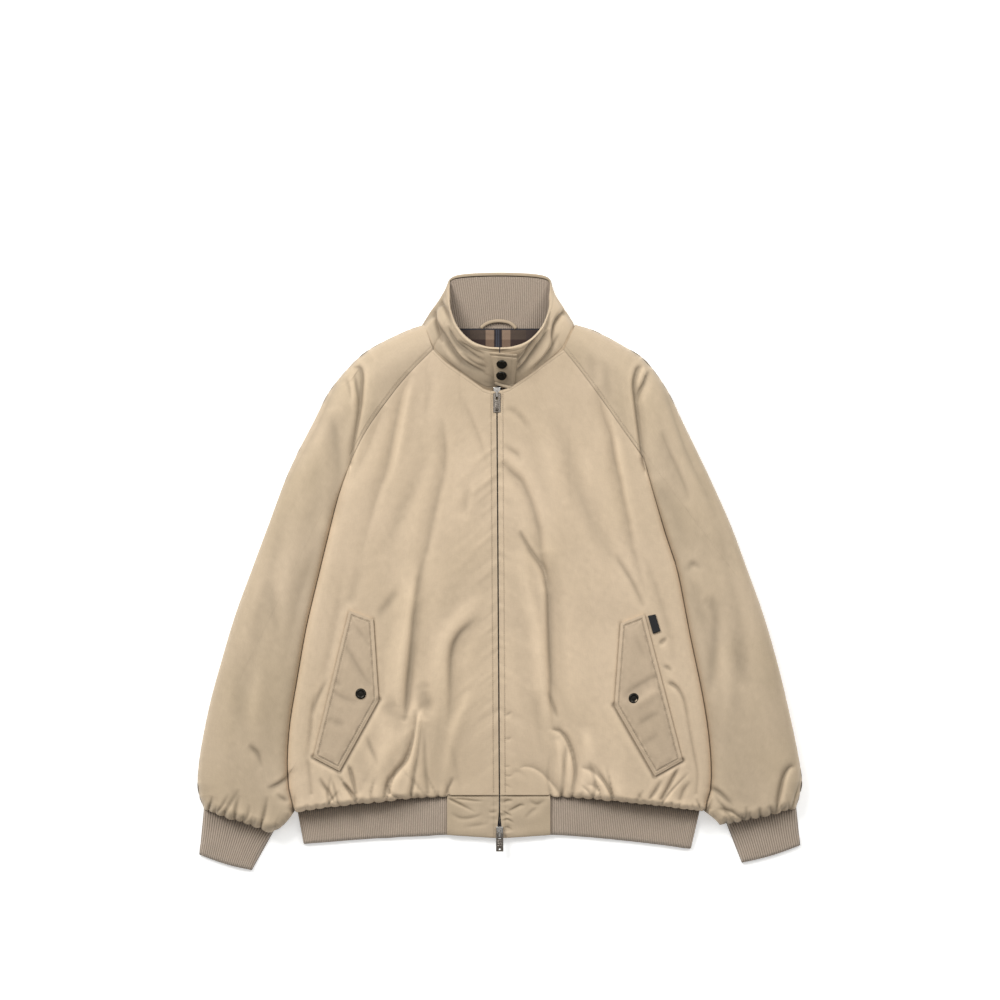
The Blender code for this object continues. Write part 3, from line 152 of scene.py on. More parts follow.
# Creases of body and sleeves: widths on the left and right of the way it runs and sharpness (2 soft, 1
# sharp), then points x, y in picture units with the depth in millimetres (a ridge is negative).
CREASES = (
    # wearer's right front
    (6, 13, 1.5, ((411, 372, 0), (407, 384, 3.2), (401, 398, 4.8), (394, 430, 4.6), (390, 452, 4.4),
                  (385, 474, 3.8), (378, 494, 3.2), (371, 518, 2.2), (364, 545, 0.8), (360, 560, 0))),
    (8, 7, 1.7, ((414, 378, 0), (409, 396, -1.6), (403, 430, -2.0), (396, 464, -1.6), (388, 492, 0))),
    (8, 12, 1.6, ((386, 406, 0), (380, 418, 2.6), (374, 434, 3.4), (367, 452, 3.0), (359, 468, 2.2),
                  (350, 488, 0))),
    (12, 13, 1.9, ((428, 440, 0), (423, 464, 1.8), (414, 486, 2.4), (402, 513, 2.6), (394, 534, 1.6),
                   (386, 560, 0))),
    (6, 12, 1.5, ((442, 418, 0), (444, 438, 2.6), (445, 456, 3.6), (443, 474, 3.4), (439, 492, 3.2),
                  (435, 510, 3.2), (431, 528, 3.2), (427, 548, 3.0), (423, 564, 2.6), (420, 582, 1.8),
                  (417, 600, 0))),
    (12, 18, 2.0, ((418, 556, 0), (411, 592, -2.6), (406, 618, -3.6), (403, 648, -4.0), (401, 668, -3.8),
                   (399, 686, -3.2), (398, 706, 0))),
    (15, 5, 1.6, ((424, 556, 0), (420, 576, 2.0), (418, 592, 3.6), (415, 618, 4.8), (412, 648, 5.4),
                  (410, 668, 5.4), (408, 686, 5.0), (407, 702, 3.8), (406, 714, 0))),
    (5, 6, 1.4, ((414, 640, 0), (412, 664, 1.6), (410, 686, 2.6), (408, 704, 3.2), (406, 716, 3.0),
                 (404, 722, 0))),
    (16, 14, 2.0, ((380, 700, 0), (391, 710, 2.6), (403, 722, 2.6), (410, 730, 0))),
    (11, 11, 2.4, ((424, 690, 1.8), (425, 697, 3.4), (426, 704, 4.8), (424, 711, 3.4), (423, 720, 0))),
    (6, 4, 1.5, ((423, 706, 0), (420, 716, -3.0), (417, 730, -3.6), (414, 750, -3.4), (410, 772, -2.6),
                 (409, 792, 0))),
    (3.2, 5.5, 1.15, ((416, 708, 0), (416, 718, 3.4), (415, 729, 5.0), (412, 744, 6.2), (406, 760, 7.0),
                      (397, 771, 7.2), (389, 782, 7.0), (385, 795, 6.0))),
    (14, 18, 2.0, ((396, 728, 0), (388, 748, -3.0), (378, 764, -2.6), (372, 782, 0))),
    (3.2, 3.6, 1.3, ((422, 712, 0), (420, 738, 2.4), (417, 760, 3.2), (413, 782, 3.6), (411, 795, 3.4))),
    (3.2, 3.2, 1.3, ((423, 718, 0), (425, 748, 2.2), (426, 771, 3.4), (428, 792, 3.8))),
    (12, 14, 2.0, ((488, 592, 0), (472, 606, -2.0), (458, 620, -3.0), (446, 638, -3.2), (441, 660, -3.0),
                   (440, 684, -2.4), (440, 710, 0))),
    (15, 5, 1.6, ((482, 617, 0), (472, 623, 1.4), (462, 631, 3.2), (455, 642, 4.8), (452, 656, 5.2),
                  (451, 676, 4.8), (451, 693, 4.0), (450, 712, 2.6), (448, 730, 0))),
    (10, 9, 1.9, ((470, 690, 0), (464, 706, -2.6), (455, 727, -3.6), (450, 749, -3.6), (446, 771, -3.0),
                  (443, 788, -1.6))),
    (5, 5, 1.5, ((452, 742, 0), (455, 762, 1.8), (459, 782, 1.4), (461, 792, 0))),
    (2.4, 2.6, 1.2, ((453, 777, 0), (451, 783, 4.6), (448, 789, 5.4), (445, 795, 5.0))),
    (5, 9, 1.7, ((461, 396, 0), (468, 413, 1.8), (476, 432, 2.2), (483, 451, 2.0), (488, 470, 0))),
    (6, 8, 1.8, ((470, 478, 0), (466, 500, 1.8), (465, 520, 0))),
    (7, 6, 1.7, ((428, 372, 0), (430, 388, 1.4), (427, 406, 1.2), (422, 424, 0))),
    (7, 7, 2.0, ((402, 585, 0), (388, 603, 1.8), (376, 620, 0))),
    (8, 8, 2.0, ((366, 540, 0), (354, 590, 1.6), (344, 612, 0))),
    (7, 8, 1.8, ((346, 560, 0), (338, 610, 1.6), (328, 660, 1.8), (322, 690, 0))),
    (4, 4, 1.5, ((330, 676, 0), (322, 690, 2.4), (316, 704, 2.2), (313, 716, 0))),
    (3.6, 4.4, 1.4, ((316, 690, 0), (313, 710, 2.2), (311, 730, 2.8), (309, 760, 2.4), (312, 792, 2.0))),
    (4, 4, 1.5, ((367, 733, 0), (371, 746, 2.2), (376, 758, 1.4), (379, 768, 0))),
    (2.8, 3.4, 1.25, ((347, 762, 1.5), (351, 770, 4.4), (354, 782, 4.8), (356, 792, 3.4))),
    (2.6, 3.2, 1.25, ((343, 781, 0), (349, 788, 4.6), (357, 798, 5.0))),
    (2.8, 3.4, 1.3, ((320, 776, 0), (325, 785, 3.6), (330, 792, 4.2), (335, 801, 4.0))),
    # wearer's left front
    (6, 10, 1.5, ((594, 386, 0), (599, 402, 3.0), (604, 420, 4.4), (610, 438, 4.8), (613, 458, 4.8),
                  (618, 478, 4.6), (622, 500, 4.2), (627, 522, 3.8), (631, 544, 3.2), (636, 562, 2.6),
                  (641, 580, 1.6), (648, 604, 0))),
    (8, 8, 1.8, ((604, 392, 0), (614, 430, -1.4), (622, 474, -1.8), (632, 520, -1.2), (640, 548, 0))),
    (14, 14, 1.9, ((550, 408, 0), (558, 429, 2.2), (567, 451, 3.0), (573, 473, 3.2), (580, 496, 3.2),
                   (589, 518, 2.8), (598, 536, 2.2), (609, 555, 1.2), (618, 574, 0))),
    (12, 12, 2.0, ((524, 420, 0), (530, 440, 1.4), (536, 464, 1.8), (544, 494, 1.2), (552, 520, 0))),
    (5, 5, 1.5, ((613, 552, 0), (622, 566, 2.0), (633, 584, 2.4), (640, 600, 1.6), (644, 612, 0))),
    (7, 13, 1.5, ((501, 461, 0.5), (505, 466, 3.0), (513, 474, 4.4), (521, 482, 5.0), (529, 498, 5.2),
                  (534, 513, 5.2), (538, 529, 5.2), (540, 546, 5.0), (542, 562, 3.6), (546, 580, 1.6),
                  (548, 590, 0))),
    (10, 14, 2.0, ((518, 548, 0), (524, 576, -2.6), (530, 604, -3.8), (536, 630, -4.2), (540, 660, -4.0),
                   (544, 690, -3.4), (549, 712, -2.0), (552, 728, 0))),
    (18, 4.5, 1.5, ((541, 552, 0), (545, 572, 5.0), (548, 594, 7.0), (549, 616, 7.6), (550, 649, 7.0),
                    (551, 676, 5.8), (551, 700, 4.2), (553, 724, 1.6), (554, 732, 0))),
    (4, 5, 1.3, ((519, 530, 0), (523, 537, 2.6), (531, 551, 4.0), (540, 564, 4.0), (547, 578, 0))),
    (5, 6, 1.6, ((503, 445, 0), (510, 450, 1.8), (517, 455, 2.0), (522, 464, 0))),
    (5, 5, 1.8, ((504, 409, 0), (514, 412, 1.6), (523, 421, 1.6), (528, 432, 0))),
    (3, 3.6, 1.4, ((548, 690, 0), (551, 699, 2.2), (555, 710, 3.0), (558, 720, 0))),
    (10, 14, 2.0, ((506, 640, 0), (514, 690, -1.8), (520, 730, -1.6), (524, 756, 0))),
    (7, 7, 1.8, ((534, 690, 0), (537, 712, 2.2), (540, 740, 1.4), (542, 756, 0))),
    (4, 2.6, 1.15, ((551, 729, 0), (556, 730, 3.6), (561, 732, 5.4), (566, 738, 6.6), (571, 749, 7.2),
                    (574, 762, 7.0), (575, 774, 6.4), (573, 787, 5.4), (572, 797, 5.0))),
    (6, 6, 1.6, ((556, 738, 0), (559, 748, -3.2), (560, 764, -3.0), (560, 782, -1.4), (560, 790, 0))),
    (2.4, 2.8, 1.25, ((566, 744, 0), (565, 756, 3.0), (564, 770, 3.6), (563, 784, 3.4), (562, 796, 3.2))),
    (4, 4, 1.8, ((569, 752, 0), (570, 764, -2.4), (570, 782, -1.6), (570, 790, 0))),
    (11, 9, 1.9, ((584, 726, 0), (587, 744, -2.6), (588, 760, -1.6), (588, 768, 0))),
    (7, 2.2, 1.2, ((518, 769, 0), (524, 767, 2.4), (533, 768, 3.6), (542, 773, 4.4), (550, 781, 5.0),
                   (558, 790, 5.2), (562, 797, 5.0))),
    (6, 3, 1.4, ((580, 767, 0), (585, 768, 2.0), (593, 771, 3.0), (600, 777, 3.4), (607, 786, 3.2),
                 (611, 798, 3.0))),
    (3, 3, 1.4, ((581, 784, 0), (588, 790, 3.2), (593, 797, 3.2))),
    (5, 4, 1.5, ((584, 786, 0), (590, 784, 1.8), (598, 788, 2.4), (604, 796, 2.0))),
    (3, 3.4, 1.25, ((678, 765, 2.0), (674, 774, 5.0), (668, 786, 5.4), (661, 798, 4.6))),
    (3, 3, 1.3, ((661, 778, 0), (656, 788, 3.4), (650, 797, 3.4))),
    (4, 4, 1.4, ((690, 780, 0), (684, 788, 3.0), (680, 798, 3.0))),
    (3.4, 3, 1.25, ((666, 682, 1.0), (672, 684, 3.6), (678, 689, 3.6), (684, 702, 2.8), (689, 729, 2.4),
                    (693, 751, 2.4), (697, 773, 2.0), (696, 792, 1.6))),
    (3, 3, 1.4, ((658, 643, 1.0), (662, 641, 3.0), (667, 637, 0))),
    (3, 3, 1.4, ((662, 666, 1.0), (667, 667, 2.4), (672, 671, 0))),
    (6, 7, 1.8, ((640, 548, 0), (656, 590, 1.6), (668, 630, 1.8), (676, 668, 0))),
    (1.8, 2.2, 1.4, ((503.5, 774, 0), (508, 776.5, 1.8), (514, 775, 0))),
    (1.8, 2.2, 1.4, ((503.5, 784, 0), (507, 786, 1.8), (513, 789, 0))),
    (1.6, 2.0, 1.4, ((503.5, 766, 0), (507, 767, 1.4), (511, 766, 0))),
    (4, 5, 1.8, ((508, 776, 0), (518, 772, 1.4), (530, 781, 0))),
    (1.8, 2.2, 1.4, ((503.5, 716, 0), (508, 714, 1.4), (513, 711, 0))),
    (1.8, 2.2, 1.4, ((503.5, 738, 0), (508, 739, 1.6), (512, 737, 0))),
    # wearer's right sleeve
    (2.8, 8, 1.15, ((352, 368, 0), (357, 367, 3.0), (361, 369, 5.0), (363, 380, 7.0), (361, 406, 7.4),
                    (357, 430, 7.0), (353, 452, 6.4), (351, 464, 4.0))),
    (3.4, 4, 1.3, ((354, 371, 0), (357, 386, 3.6), (359, 398, 2.0), (360, 410, 0))),
    (4, 4, 1.5, ((346, 376, 0), (350, 390, 2.6), (352, 404, 0))),
    (7, 7, 1.8, ((350, 376, 0), (354, 395, -2.6), (354, 425, -1.6), (350, 446, 0))),
    (11, 14, 1.9, ((331, 410, 0), (334, 429, 3.0), (338, 460, 3.6), (338, 482, 3.8), (334, 509, 3.4),
                   (328, 530, 0))),
    (6, 10, 1.4, ((347, 376, 0), (336, 386, 3.4), (326, 408, 3.6), (316, 430, 3.4), (303, 454, 2.6),
                  (290, 479, 1.8), (280, 505, 0))),
    (12, 9, 1.8, ((322, 520, 0), (312, 560, 2.4), (300, 600, 2.8), (292, 640, 1.8), (284, 690, 0))),
    (12, 12, 1.9, ((292, 500, 0), (278, 540, 2.4), (266, 590, 2.8), (256, 640, 2.2), (250, 700, 0))),
    (12, 12, 2.0, ((304, 520, 0), (292, 560, -2.0), (280, 610, -2.2), (272, 650, 0))),
    (10, 10, 2.0, ((270, 578, 0), (275, 612, 1.8), (277, 650, 0))),
    (14, 14, 2.0, ((244, 640, 0), (240, 690, 2.4), (236, 740, 0))),
    (12, 12, 2.0, ((262, 640, 0), (256, 700, -2.2), (254, 750, 0))),
    (4, 5, 1.4, ((248, 744, 0), (254, 748, 2.4), (259, 754, 3.0), (263, 768, 0))),
    (3, 6, 1.25, ((267, 787, 0), (277, 784, 4.0), (286, 778, 4.8), (290, 772, 3.6))),
    (4, 4, 1.5, ((276, 792, 0), (284, 798, 3.0), (290, 801, 0))),
    # wearer's left sleeve
    (8, 2.8, 1.15, ((643, 366, 0), (638, 368, 3.6), (635, 374, 5.4), (633, 386, 6.8), (635, 404, 7.2),
                    (638, 428, 7.0), (642, 458, 6.0), (645, 470, 3.6))),
    (4, 3, 1.25, ((650, 369, 0), (646, 376, 3.6), (643, 384, 5.0), (638, 394, 4.4), (636, 404, 0))),
    (5, 5, 1.8, ((644, 366, 0), (641, 378, -2.6), (638, 390, 0))),
    (7, 7, 2.0, ((590, 354, 0), (592, 372, 1.4), (594, 388, 0))),
    (7, 7, 2.0, ((605, 360, 0), (607, 388, 1.6), (612, 410, 0))),
    (5, 9, 1.4, ((660, 430, 0), (665, 444, 2.6), (675, 466, 3.2), (684, 487, 2.4), (690, 504, 0))),
    (14, 13, 1.9, ((656, 480, 0), (664, 496, 2.6), (674, 516, 3.2), (682, 548, 2.4), (688, 580, 0))),
    (10, 6, 1.5, ((656, 372, 0), (666, 394, 3.4), (676, 424, 3.6), (688, 456, 3.2), (704, 490, 2.0),
                  (716, 520, 0))),
    (10, 12, 1.8, ((684, 560, 0), (696, 600, 2.4), (706, 640, 2.4), (714, 690, 0))),
    (13, 12, 1.8, ((700, 470, 0), (716, 520, 2.4), (730, 580, 3.0), (742, 640, 2.4), (748, 700, 0))),
    (9, 9, 1.8, ((702, 598, 0), (712, 606, 2.2), (714, 640, 2.8), (710, 678, 2.2), (706, 700, 0))),
    (5, 5, 1.8, ((686, 572, 0), (692, 564, 2.0), (701, 568, 0))),
    (10, 10, 2.0, ((732, 622, 0), (738, 660, 1.8), (742, 690, 0))),
    (11, 11, 2.0, ((722, 640, 0), (726, 690, -2.4), (724, 740, 0))),
    (3.4, 6, 1.2, ((797, 766, 0), (789, 767, 5.0), (783, 776, 7.4), (779, 792, 7.4), (775, 810, 6.6))),
    (4, 5, 1.35, ((708, 786, 1.0), (716, 790, 4.6), (725, 797, 3.2), (733, 806, 0))),
    (4, 4, 1.35, ((718, 808, 1.0), (730, 810, 4.6), (742, 817, 5.0))),
)

# Where the hem seam is drawn in, picture units along x: the cloth puffs out between these
HEM_TUCKS = {
    "right": (294, 306, 316, 325, 331, 340, 350, 357, 363, 374, 386, 397, 402, 411, 418, 427, 438, 448),
    "left": (707, 700, 694, 687, 679, 671, 665, 659, 651, 645, 636, 627, 618, 612, 601, 593, 583, 573, 562,
             551),
}
# The same along the cuff seams, as a share from the outer edge
CUFF_TUCKS = {
    "right": (0.0, 0.08, 0.17, 0.30, 0.46, 0.56, 0.68, 0.82, 1.0),
    "left": (0.0, 0.12, 0.22, 0.37, 0.52, 0.66, 0.78, 0.90, 1.0),
}


# ---- curves and grids -----------------------------------------------------------------------------
def smooth_curve(points, count, steps=24):
    """Cubic through the points, cut into equal lengths: p + t/2 (b - a + t (2a - 5p + 4b - c + ...))."""
    points = np.asarray(points, float)
    padded = np.vstack((2 * points[0] - points[1], points, 2 * points[-1] - points[-2]))
    t = np.linspace(0.0, 1.0, steps, endpoint=False)[:, None]
    pieces = []
    for before, start, end, after in zip(padded, padded[1:], padded[2:], padded[3:]):
        bend = 2 * before - 5 * start + 4 * end - after
        cubic = 3 * (start - end) + after - before
        pieces.append(start + 0.5 * t * (end - before + t * (bend + t * cubic)))
    line = np.vstack(pieces + [points[-1:]])
    length = np.concatenate(([0.0], np.cumsum(np.linalg.norm(np.diff(line, axis=0), axis=1))))
    even = np.linspace(0.0, length[-1], count + 1)
    return np.column_stack([np.interp(even, length, line[:, axis]) for axis in range(line.shape[1])])


def at(curve, share):
    """Points of a curve at shares of its point count."""
    where = np.asarray(share, float) * (len(curve) - 1)
    number = np.arange(len(curve))
    return np.stack([np.interp(where, number, column) for column in curve.T], -1)


def eased(count, strength):
    """count + 1 shares from 0 to 1, closer together at both ends: t - k sin(2 pi t) / (2 pi)."""
    t = np.linspace(0.0, 1.0, count + 1)
    return t - strength * np.sin(2 * np.pi * t) / (2 * np.pi)


def patch(first_row, last_row, first_column, last_column, u, v):
    """Plan between four edge curves: both ruled surfaces added, less the bilinear one, at shares u and v."""
    low, high = at(first_row, u)[None], at(last_row, u)[None]
    left, right = at(first_column, v)[:, None], at(last_column, v)[:, None]
    u, v = u[None, :, None], v[:, None, None]
    ruled = (1 - v) * low + v * high + (1 - u) * left + u * right
    corners = (1 - u) * (1 - v) * first_row[0] + u * (1 - v) * first_row[-1]
    return ruled - corners - (1 - u) * v * last_row[0] - u * v * last_row[-1]


def nearest(line, x, y):
    """Distance from every x, y to a polyline, signed to its left, and the place along it as a row number."""
    start, end = line[:-1, :2], line[1:, :2]
    along = end - start
    best = np.full(x.shape, np.inf)
    signed, place = np.zeros(x.shape), np.zeros(x.shape)
    for number, (a, d) in enumerate(zip(start, along)):
        rel_x, rel_y = x - a[0], y - a[1]
        share = np.clip((rel_x * d[0] + rel_y * d[1]) / max(d @ d, 1e-9), 0.0, 1.0)
        off = np.hypot(rel_x - share * d[0], rel_y - share * d[1])
        closer = off < best
        best = np.where(closer, off, best)
        signed = np.where(closer, np.sign(d[0] * rel_y - d[1] * rel_x) * off, signed)
        place = np.where(closer, number + share, place)
    return signed, place


def distance_to(line, x, y):
    """Distance from every x, y to a polyline."""
    return np.abs(nearest(line, x, y)[0])


def smoothstep(low, high, value):
    """0 at low, 1 at high and s s (3 - 2 s) between, with s the share of the way."""
    share = np.clip((value - low) / (high - low), 0.0, 1.0)
    return share * share * (3 - 2 * share)


def ripple(x, y, size, seed):
    """Smooth noise between -1 and 1: random values on a lattice, joined by smoothsteps."""
    values = np.random.default_rng(seed).uniform(-1.0, 1.0, (64, 64))
    column, row = x / size[0] + 31.7, y / size[1] + 29.3
    i, j = np.floor(column).astype(int), np.floor(row).astype(int)
    s, t = smoothstep(0, 1, column - i), smoothstep(0, 1, row - j)
    corner = [values[(j + b) % 64, (i + a) % 64] for a, b in ((0, 0), (1, 0), (0, 1), (1, 1))]
    return (corner[0] * (1 - s) + corner[1] * s) * (1 - t) + (corner[2] * (1 - s) + corner[3] * s) * t


def picture(x, y):
    """Picture units to millimetres."""
    return (x - PICTURE_X) * UNIT, (PICTURE_Y - y) * UNIT


# ---- outline curves -------------------------------------------------------------------------------
def side_points(table, side):
    """One side's x, y points of a table whose rows are y, right x, left x."""
    column = 1 if side == "right" else 2
    return [(row[column], row[0]) for row in table]


def chain(*parts):
    """Curves joined end to start."""
    return np.vstack([parts[0]] + [part[1:] for part in parts[1:]])


def zip_x(y):
    """Middle of the zip, which leans a little: x straight from its lower to its upper end."""
    share = (np.asarray(y) - HEM_BOTTOM_Y) / (NECK_FRONT_Y - HEM_BOTTOM_Y)
    return ZIP_BOTTOM_X + (ZIP_TOP_X - ZIP_BOTTOM_X) * share


def hem_seam_y(x):
    """Seam of body and hem: level in the middle, sagging by a power of x beyond."""
    start, width, sag, power = HEM_SAG
    return HEM_Y - sag * np.clip((np.abs(x) - start) / width, 0.0, 1.0) ** power


def hem_bottom_y(x):
    """Lower edge of the hem: rises to the blocks' outer edges, then drops by a power of x."""
    x = np.asarray(x, float)
    rise = HEM_STEP * np.clip(np.abs(x) / 72.0, 0.0, 1.0)
    beyond = np.clip((np.abs(x) - 72.0) / 200.0, 0.0, 1.3)
    drop = np.where(x < 0, HEM_DROP["right"], HEM_DROP["left"])
    return HEM_BOTTOM_Y + rise - drop * beyond ** 1.35


def body_side(side):
    """Edge between front and sleeve below the arm."""
    return smooth_curve(side_points(BODY_SIDE, side), 96)


def raglan(side):
    """Seam of the raglan sleeve, from neck to armpit."""
    return smooth_curve(side_points(RAGLAN, side), 48)


def sleeve_outer(side):
    """Outer edge of a sleeve from neck to cuff, in two runs that meet beside the armpit."""
    points = side_points(SLEEVE_OUTER, side) + [CUFF_CORNERS[side][0]]
    upper = smooth_curve(points[:OUTER_ROWS_BY_RAGLAN], 48)
    lower = smooth_curve(points[OUTER_ROWS_BY_RAGLAN - 1:], 108)
    return chain(upper, lower)


def sleeve_tail(side):
    """Inner edge of a sleeve where it hangs free of the body."""
    return smooth_curve(side_points(SLEEVE_TAIL, side) + [CUFF_CORNERS[side][1]], 12)


def neck_front(side):
    """Neck seam of a front, from raglan seam to zip."""
    sign = SIDES[side]
    points = [(sign * half, y) for half, y in reversed(NECK_FRONT[side][1:])]
    points[0] = side_points(RAGLAN, side)[0]
    points.append((float(zip_x(NECK_FRONT_Y)) + sign * ZIP_GAP / 2, NECK_FRONT_Y))
    return smooth_curve(points, 40)


def coarse(curve, count):
    """Every so many points of a curve, for distances."""
    return at(curve, np.linspace(0, 1, count + 1))


OUTLINES = {side: coarse(sleeve_outer(side), 40) for side in SIDES}
VALLEYS = {side: coarse(chain(body_side(side), sleeve_tail(side)), 30) for side in SIDES}
RAGLANS = {side: coarse(raglan(side), 12) for side in SIDES}
CUFF_SEAMS = {side: np.array(CUFF_CORNERS[side][:2], float) for side in SIDES}
SEAM_LINES = {side: coarse(chain(raglan(side), body_side(side)), 60) for side in SIDES}
HEM_X = np.linspace(-286.0, 284.0, 25)
HEM_SEAM = np.column_stack((HEM_X, hem_seam_y(HEM_X)))
NECK_SEAM = np.vstack((coarse(neck_front("right"), 12), coarse(neck_front("left"), 12)[::-1]))
ZIP_LINE = np.array([(ZIP_BOTTOM_X, HEM_BOTTOM_Y), (ZIP_TOP_X, NECK_FRONT_Y)])


# ---- heights --------------------------------------------------------------------------------------
def rounded(distance, width):
    """Superellipse quarter from 0 at the edge to 1 at the width."""
    inner = 1.0 - np.clip(distance / width, 0.0, 1.0)
    return (1.0 - inner ** EDGE_POWER) ** (1.0 / EDGE_POWER)


def plain_height(x, y):
    """Both padded walls together without creases: full inside, rounded down at outline, hem, cuffs, sides.

    The fall to the hem is steep over the rib and slow over the flat blocks beside the zip; the valleys
    between body and sleeves open slowly below the arm.
    """
    fullness = np.ones_like(x)
    for side in SIDES:
        valley = rounded(distance_to(VALLEYS[side], x, y), SIDE_ROUNDING)
        open_share = valley_share(y)
        fullness = fullness * rounded(distance_to(OUTLINES[side], x, y), ARM_ROUNDING)
        fullness = fullness * (1.0 - (1.0 - SIDE_VALLEY) * open_share * (1.0 - valley))
        fullness = fullness * rounded(distance_to(CUFF_SEAMS[side], x, y), CUFF_ROUNDING)
    to_hem = distance_to(HEM_SEAM, x, y)
    slow = 0.15 + 0.85 * np.sin(np.clip(to_hem / BLOCK_RISE, 0.0, 1.0) * np.pi / 2)
    over_block = smoothstep(175.0, 62.0, np.abs(x))
    fullness = fullness * (rounded(to_hem, HEM_ROUNDING) * (1 - over_block) + slow * over_block)
    return EDGE_HEIGHT + (FULL_HEIGHT - EDGE_HEIGHT) * fullness


def valley_share(y):
    """How open the valley between body and sleeve is: 0 at the armpit, 1 from 120 mm below it."""
    return smoothstep(166.0, 130.0, y) * (0.35 + 0.65 * smoothstep(150.0, 45.0, y))


def clear_of_flaps(x, y):
    """1 away from the pocket flaps, 0 under them."""
    clear = np.ones_like(x)
    for corners in FLAPS.values():
        outline = np.array(corners[:5] + corners[:1], float)
        signed, _ = nearest(outline, x, y)
        inside = np.ones(x.shape, bool)
        turn = 1 if corners is FLAPS["right"] else -1
        for start, end in zip(outline, outline[1:]):
            side = (end[0] - start[0]) * (y - start[1]) - (end[1] - start[1]) * (x - start[0])
            inside &= side * turn < 0
        clear = clear * np.where(inside, 0.0, smoothstep(1.0, 14.0, np.abs(signed)))
    return clear


def crease_depth(x, y, creases, spread=np.inf):
    """Sum of the creases: depth exp(-(distance / width) ^ sharpness), each on its own side's width.

    A crease is left out at points further from it than its width times the spread.
    """
    depth = np.zeros_like(x)
    for left, right, power, points in creases:
        line = smooth_curve(points, 5 * len(points))
        reach = spread * max(left, right)
        low, high = line[:, :2].min(0) - reach, line[:, :2].max(0) + reach
        near = (x > low[0]) & (x < high[0]) & (y > low[1]) & (y < high[1])
        if not near.any():
            continue
        signed, place = nearest(line, x[near], y[near])
        deep = np.interp(place, np.arange(len(line)), line[:, 2])
        width = np.where(signed > 0, left, right)
        depth[near] += deep * np.exp(-np.abs(signed / width) ** power)
    return depth


def puffs(share, tucks):
    """Arches between neighbouring tucks: 0 at a tuck, 1 half way, and how wide each is."""
    tucks = np.sort(np.asarray(tucks, float))
    number = np.clip(np.searchsorted(tucks, share) - 1, 0, len(tucks) - 2)
    start, end = tucks[number], tucks[number + 1]
    across = np.clip((share - start) / (end - start), 0.0, 1.0)
    return np.sqrt(np.clip(4 * across * (1 - across), 0.0, 1.0)), end - start


def hem_puffs(x):
    """Arches along the hem seam in millimetres of x, and their widths."""
    arch, width = np.zeros_like(x), np.ones_like(x)
    for tucks in HEM_TUCKS.values():
        where = (np.array(tucks) - PICTURE_X) * UNIT
        a, w = puffs(x, where)
        own = (x >= where.min()) & (x <= where.max())
        arch, width = np.where(own, a, arch), np.where(own, w, width)
    return arch, width


def cuff_frame(side, x, y):
    """Place along a cuff seam as a share from the outer edge, millimetres above it, and its length."""
    outer, inner = (np.asarray(point) for point in CUFF_CORNERS[side][:2])
    width = np.linalg.norm(inner - outer)
    along = (inner - outer) / width
    up = np.array((-along[1], along[0])) * -SIDES[side]
    rel_x, rel_y = x - outer[0], y - outer[1]
    return (rel_x * along[0] + rel_y * along[1]) / width, rel_x * up[0] + rel_y * up[1], width


def tuck_creases():
    """Creases that run up from the tucks of hem and cuffs, uneven in length, lean and depth."""
    random = np.random.default_rng(23)
    found = []
    for side, tucks in HEM_TUCKS.items():
        for tuck in tucks:
            x = (tuck - PICTURE_X) * UNIT
            length = 12.0 + 46.0 * random.random() ** 2.2
            lean, bow = random.normal(0.0, 0.32), random.normal(0.0, 3.0)
            deep = random.uniform(2.4, 4.6)
            left, right = random.uniform(1.3, 3.0, 2)
            foot = float(hem_seam_y(np.array(x))) - 2.0
            points = [(x, foot, deep), (x + lean * length * 0.4 + bow, foot + length * 0.4, deep * 0.75),
                      (x + lean * length, foot + length, 0.0)]
            found.append((left, right, 1.35, points))
    for side, shares in CUFF_TUCKS.items():
        outer, inner = (np.asarray(point) for point in CUFF_CORNERS[side][:2])
        along = (inner - outer) / np.linalg.norm(inner - outer)
        up = np.array((-along[1], along[0])) * -SIDES[side]
        for share in shares[1:-1]:
            foot = outer + (inner - outer) * share - 2.0 * up
            length = 14.0 + 44.0 * random.random() ** 1.8
            lean, deep = random.normal(0.0, 0.3), random.uniform(3.0, 5.4)
            left, right = random.uniform(2.0, 4.2, 2)
            bend = foot + up * length * 0.45 + along * (lean * length * 0.45 + random.normal(0.0, 2.0))
            tip = foot + up * length + along * lean * length
            found.append((left, right, 1.35, [(*foot, deep), (*bend, deep * 0.8), (*tip, 0.0)]))
    return found


def gather_depth(x, y):
    """Cloth drawn in at each tuck of the hem and cuff seams and puffed out between, fading upwards."""
    depth = np.zeros_like(x)
    above = y - hem_seam_y(x)
    arch, width = hem_puffs(x)
    size = np.clip(width / 16.0, 0.45, 1.2)
    fade = np.exp(-np.clip(above, 0, None) / (5.5 * size))
    over_body = (np.abs(x) < 292.0) * (np.abs(x) > 70.0) * (above > -8.0) * (above < 80.0)
    depth += over_body * size * fade * (2.2 - 2.3 * arch)
    for side in SIDES:
        share, above, _ = cuff_frame(side, x, y)
        near = (above > -9.0) & (above < 80.0) & (np.abs(x) > 286.0) & (x * SIDES[side] > 0)
        arch, gap = puffs(share, CUFF_TUCKS[side])
        size = np.clip(gap / 0.15, 0.6, 1.2)
        depth += near * size * np.exp(-np.clip(above, 0, None) / (9.0 * size)) * (2.2 - 3.0 * arch)
    return depth


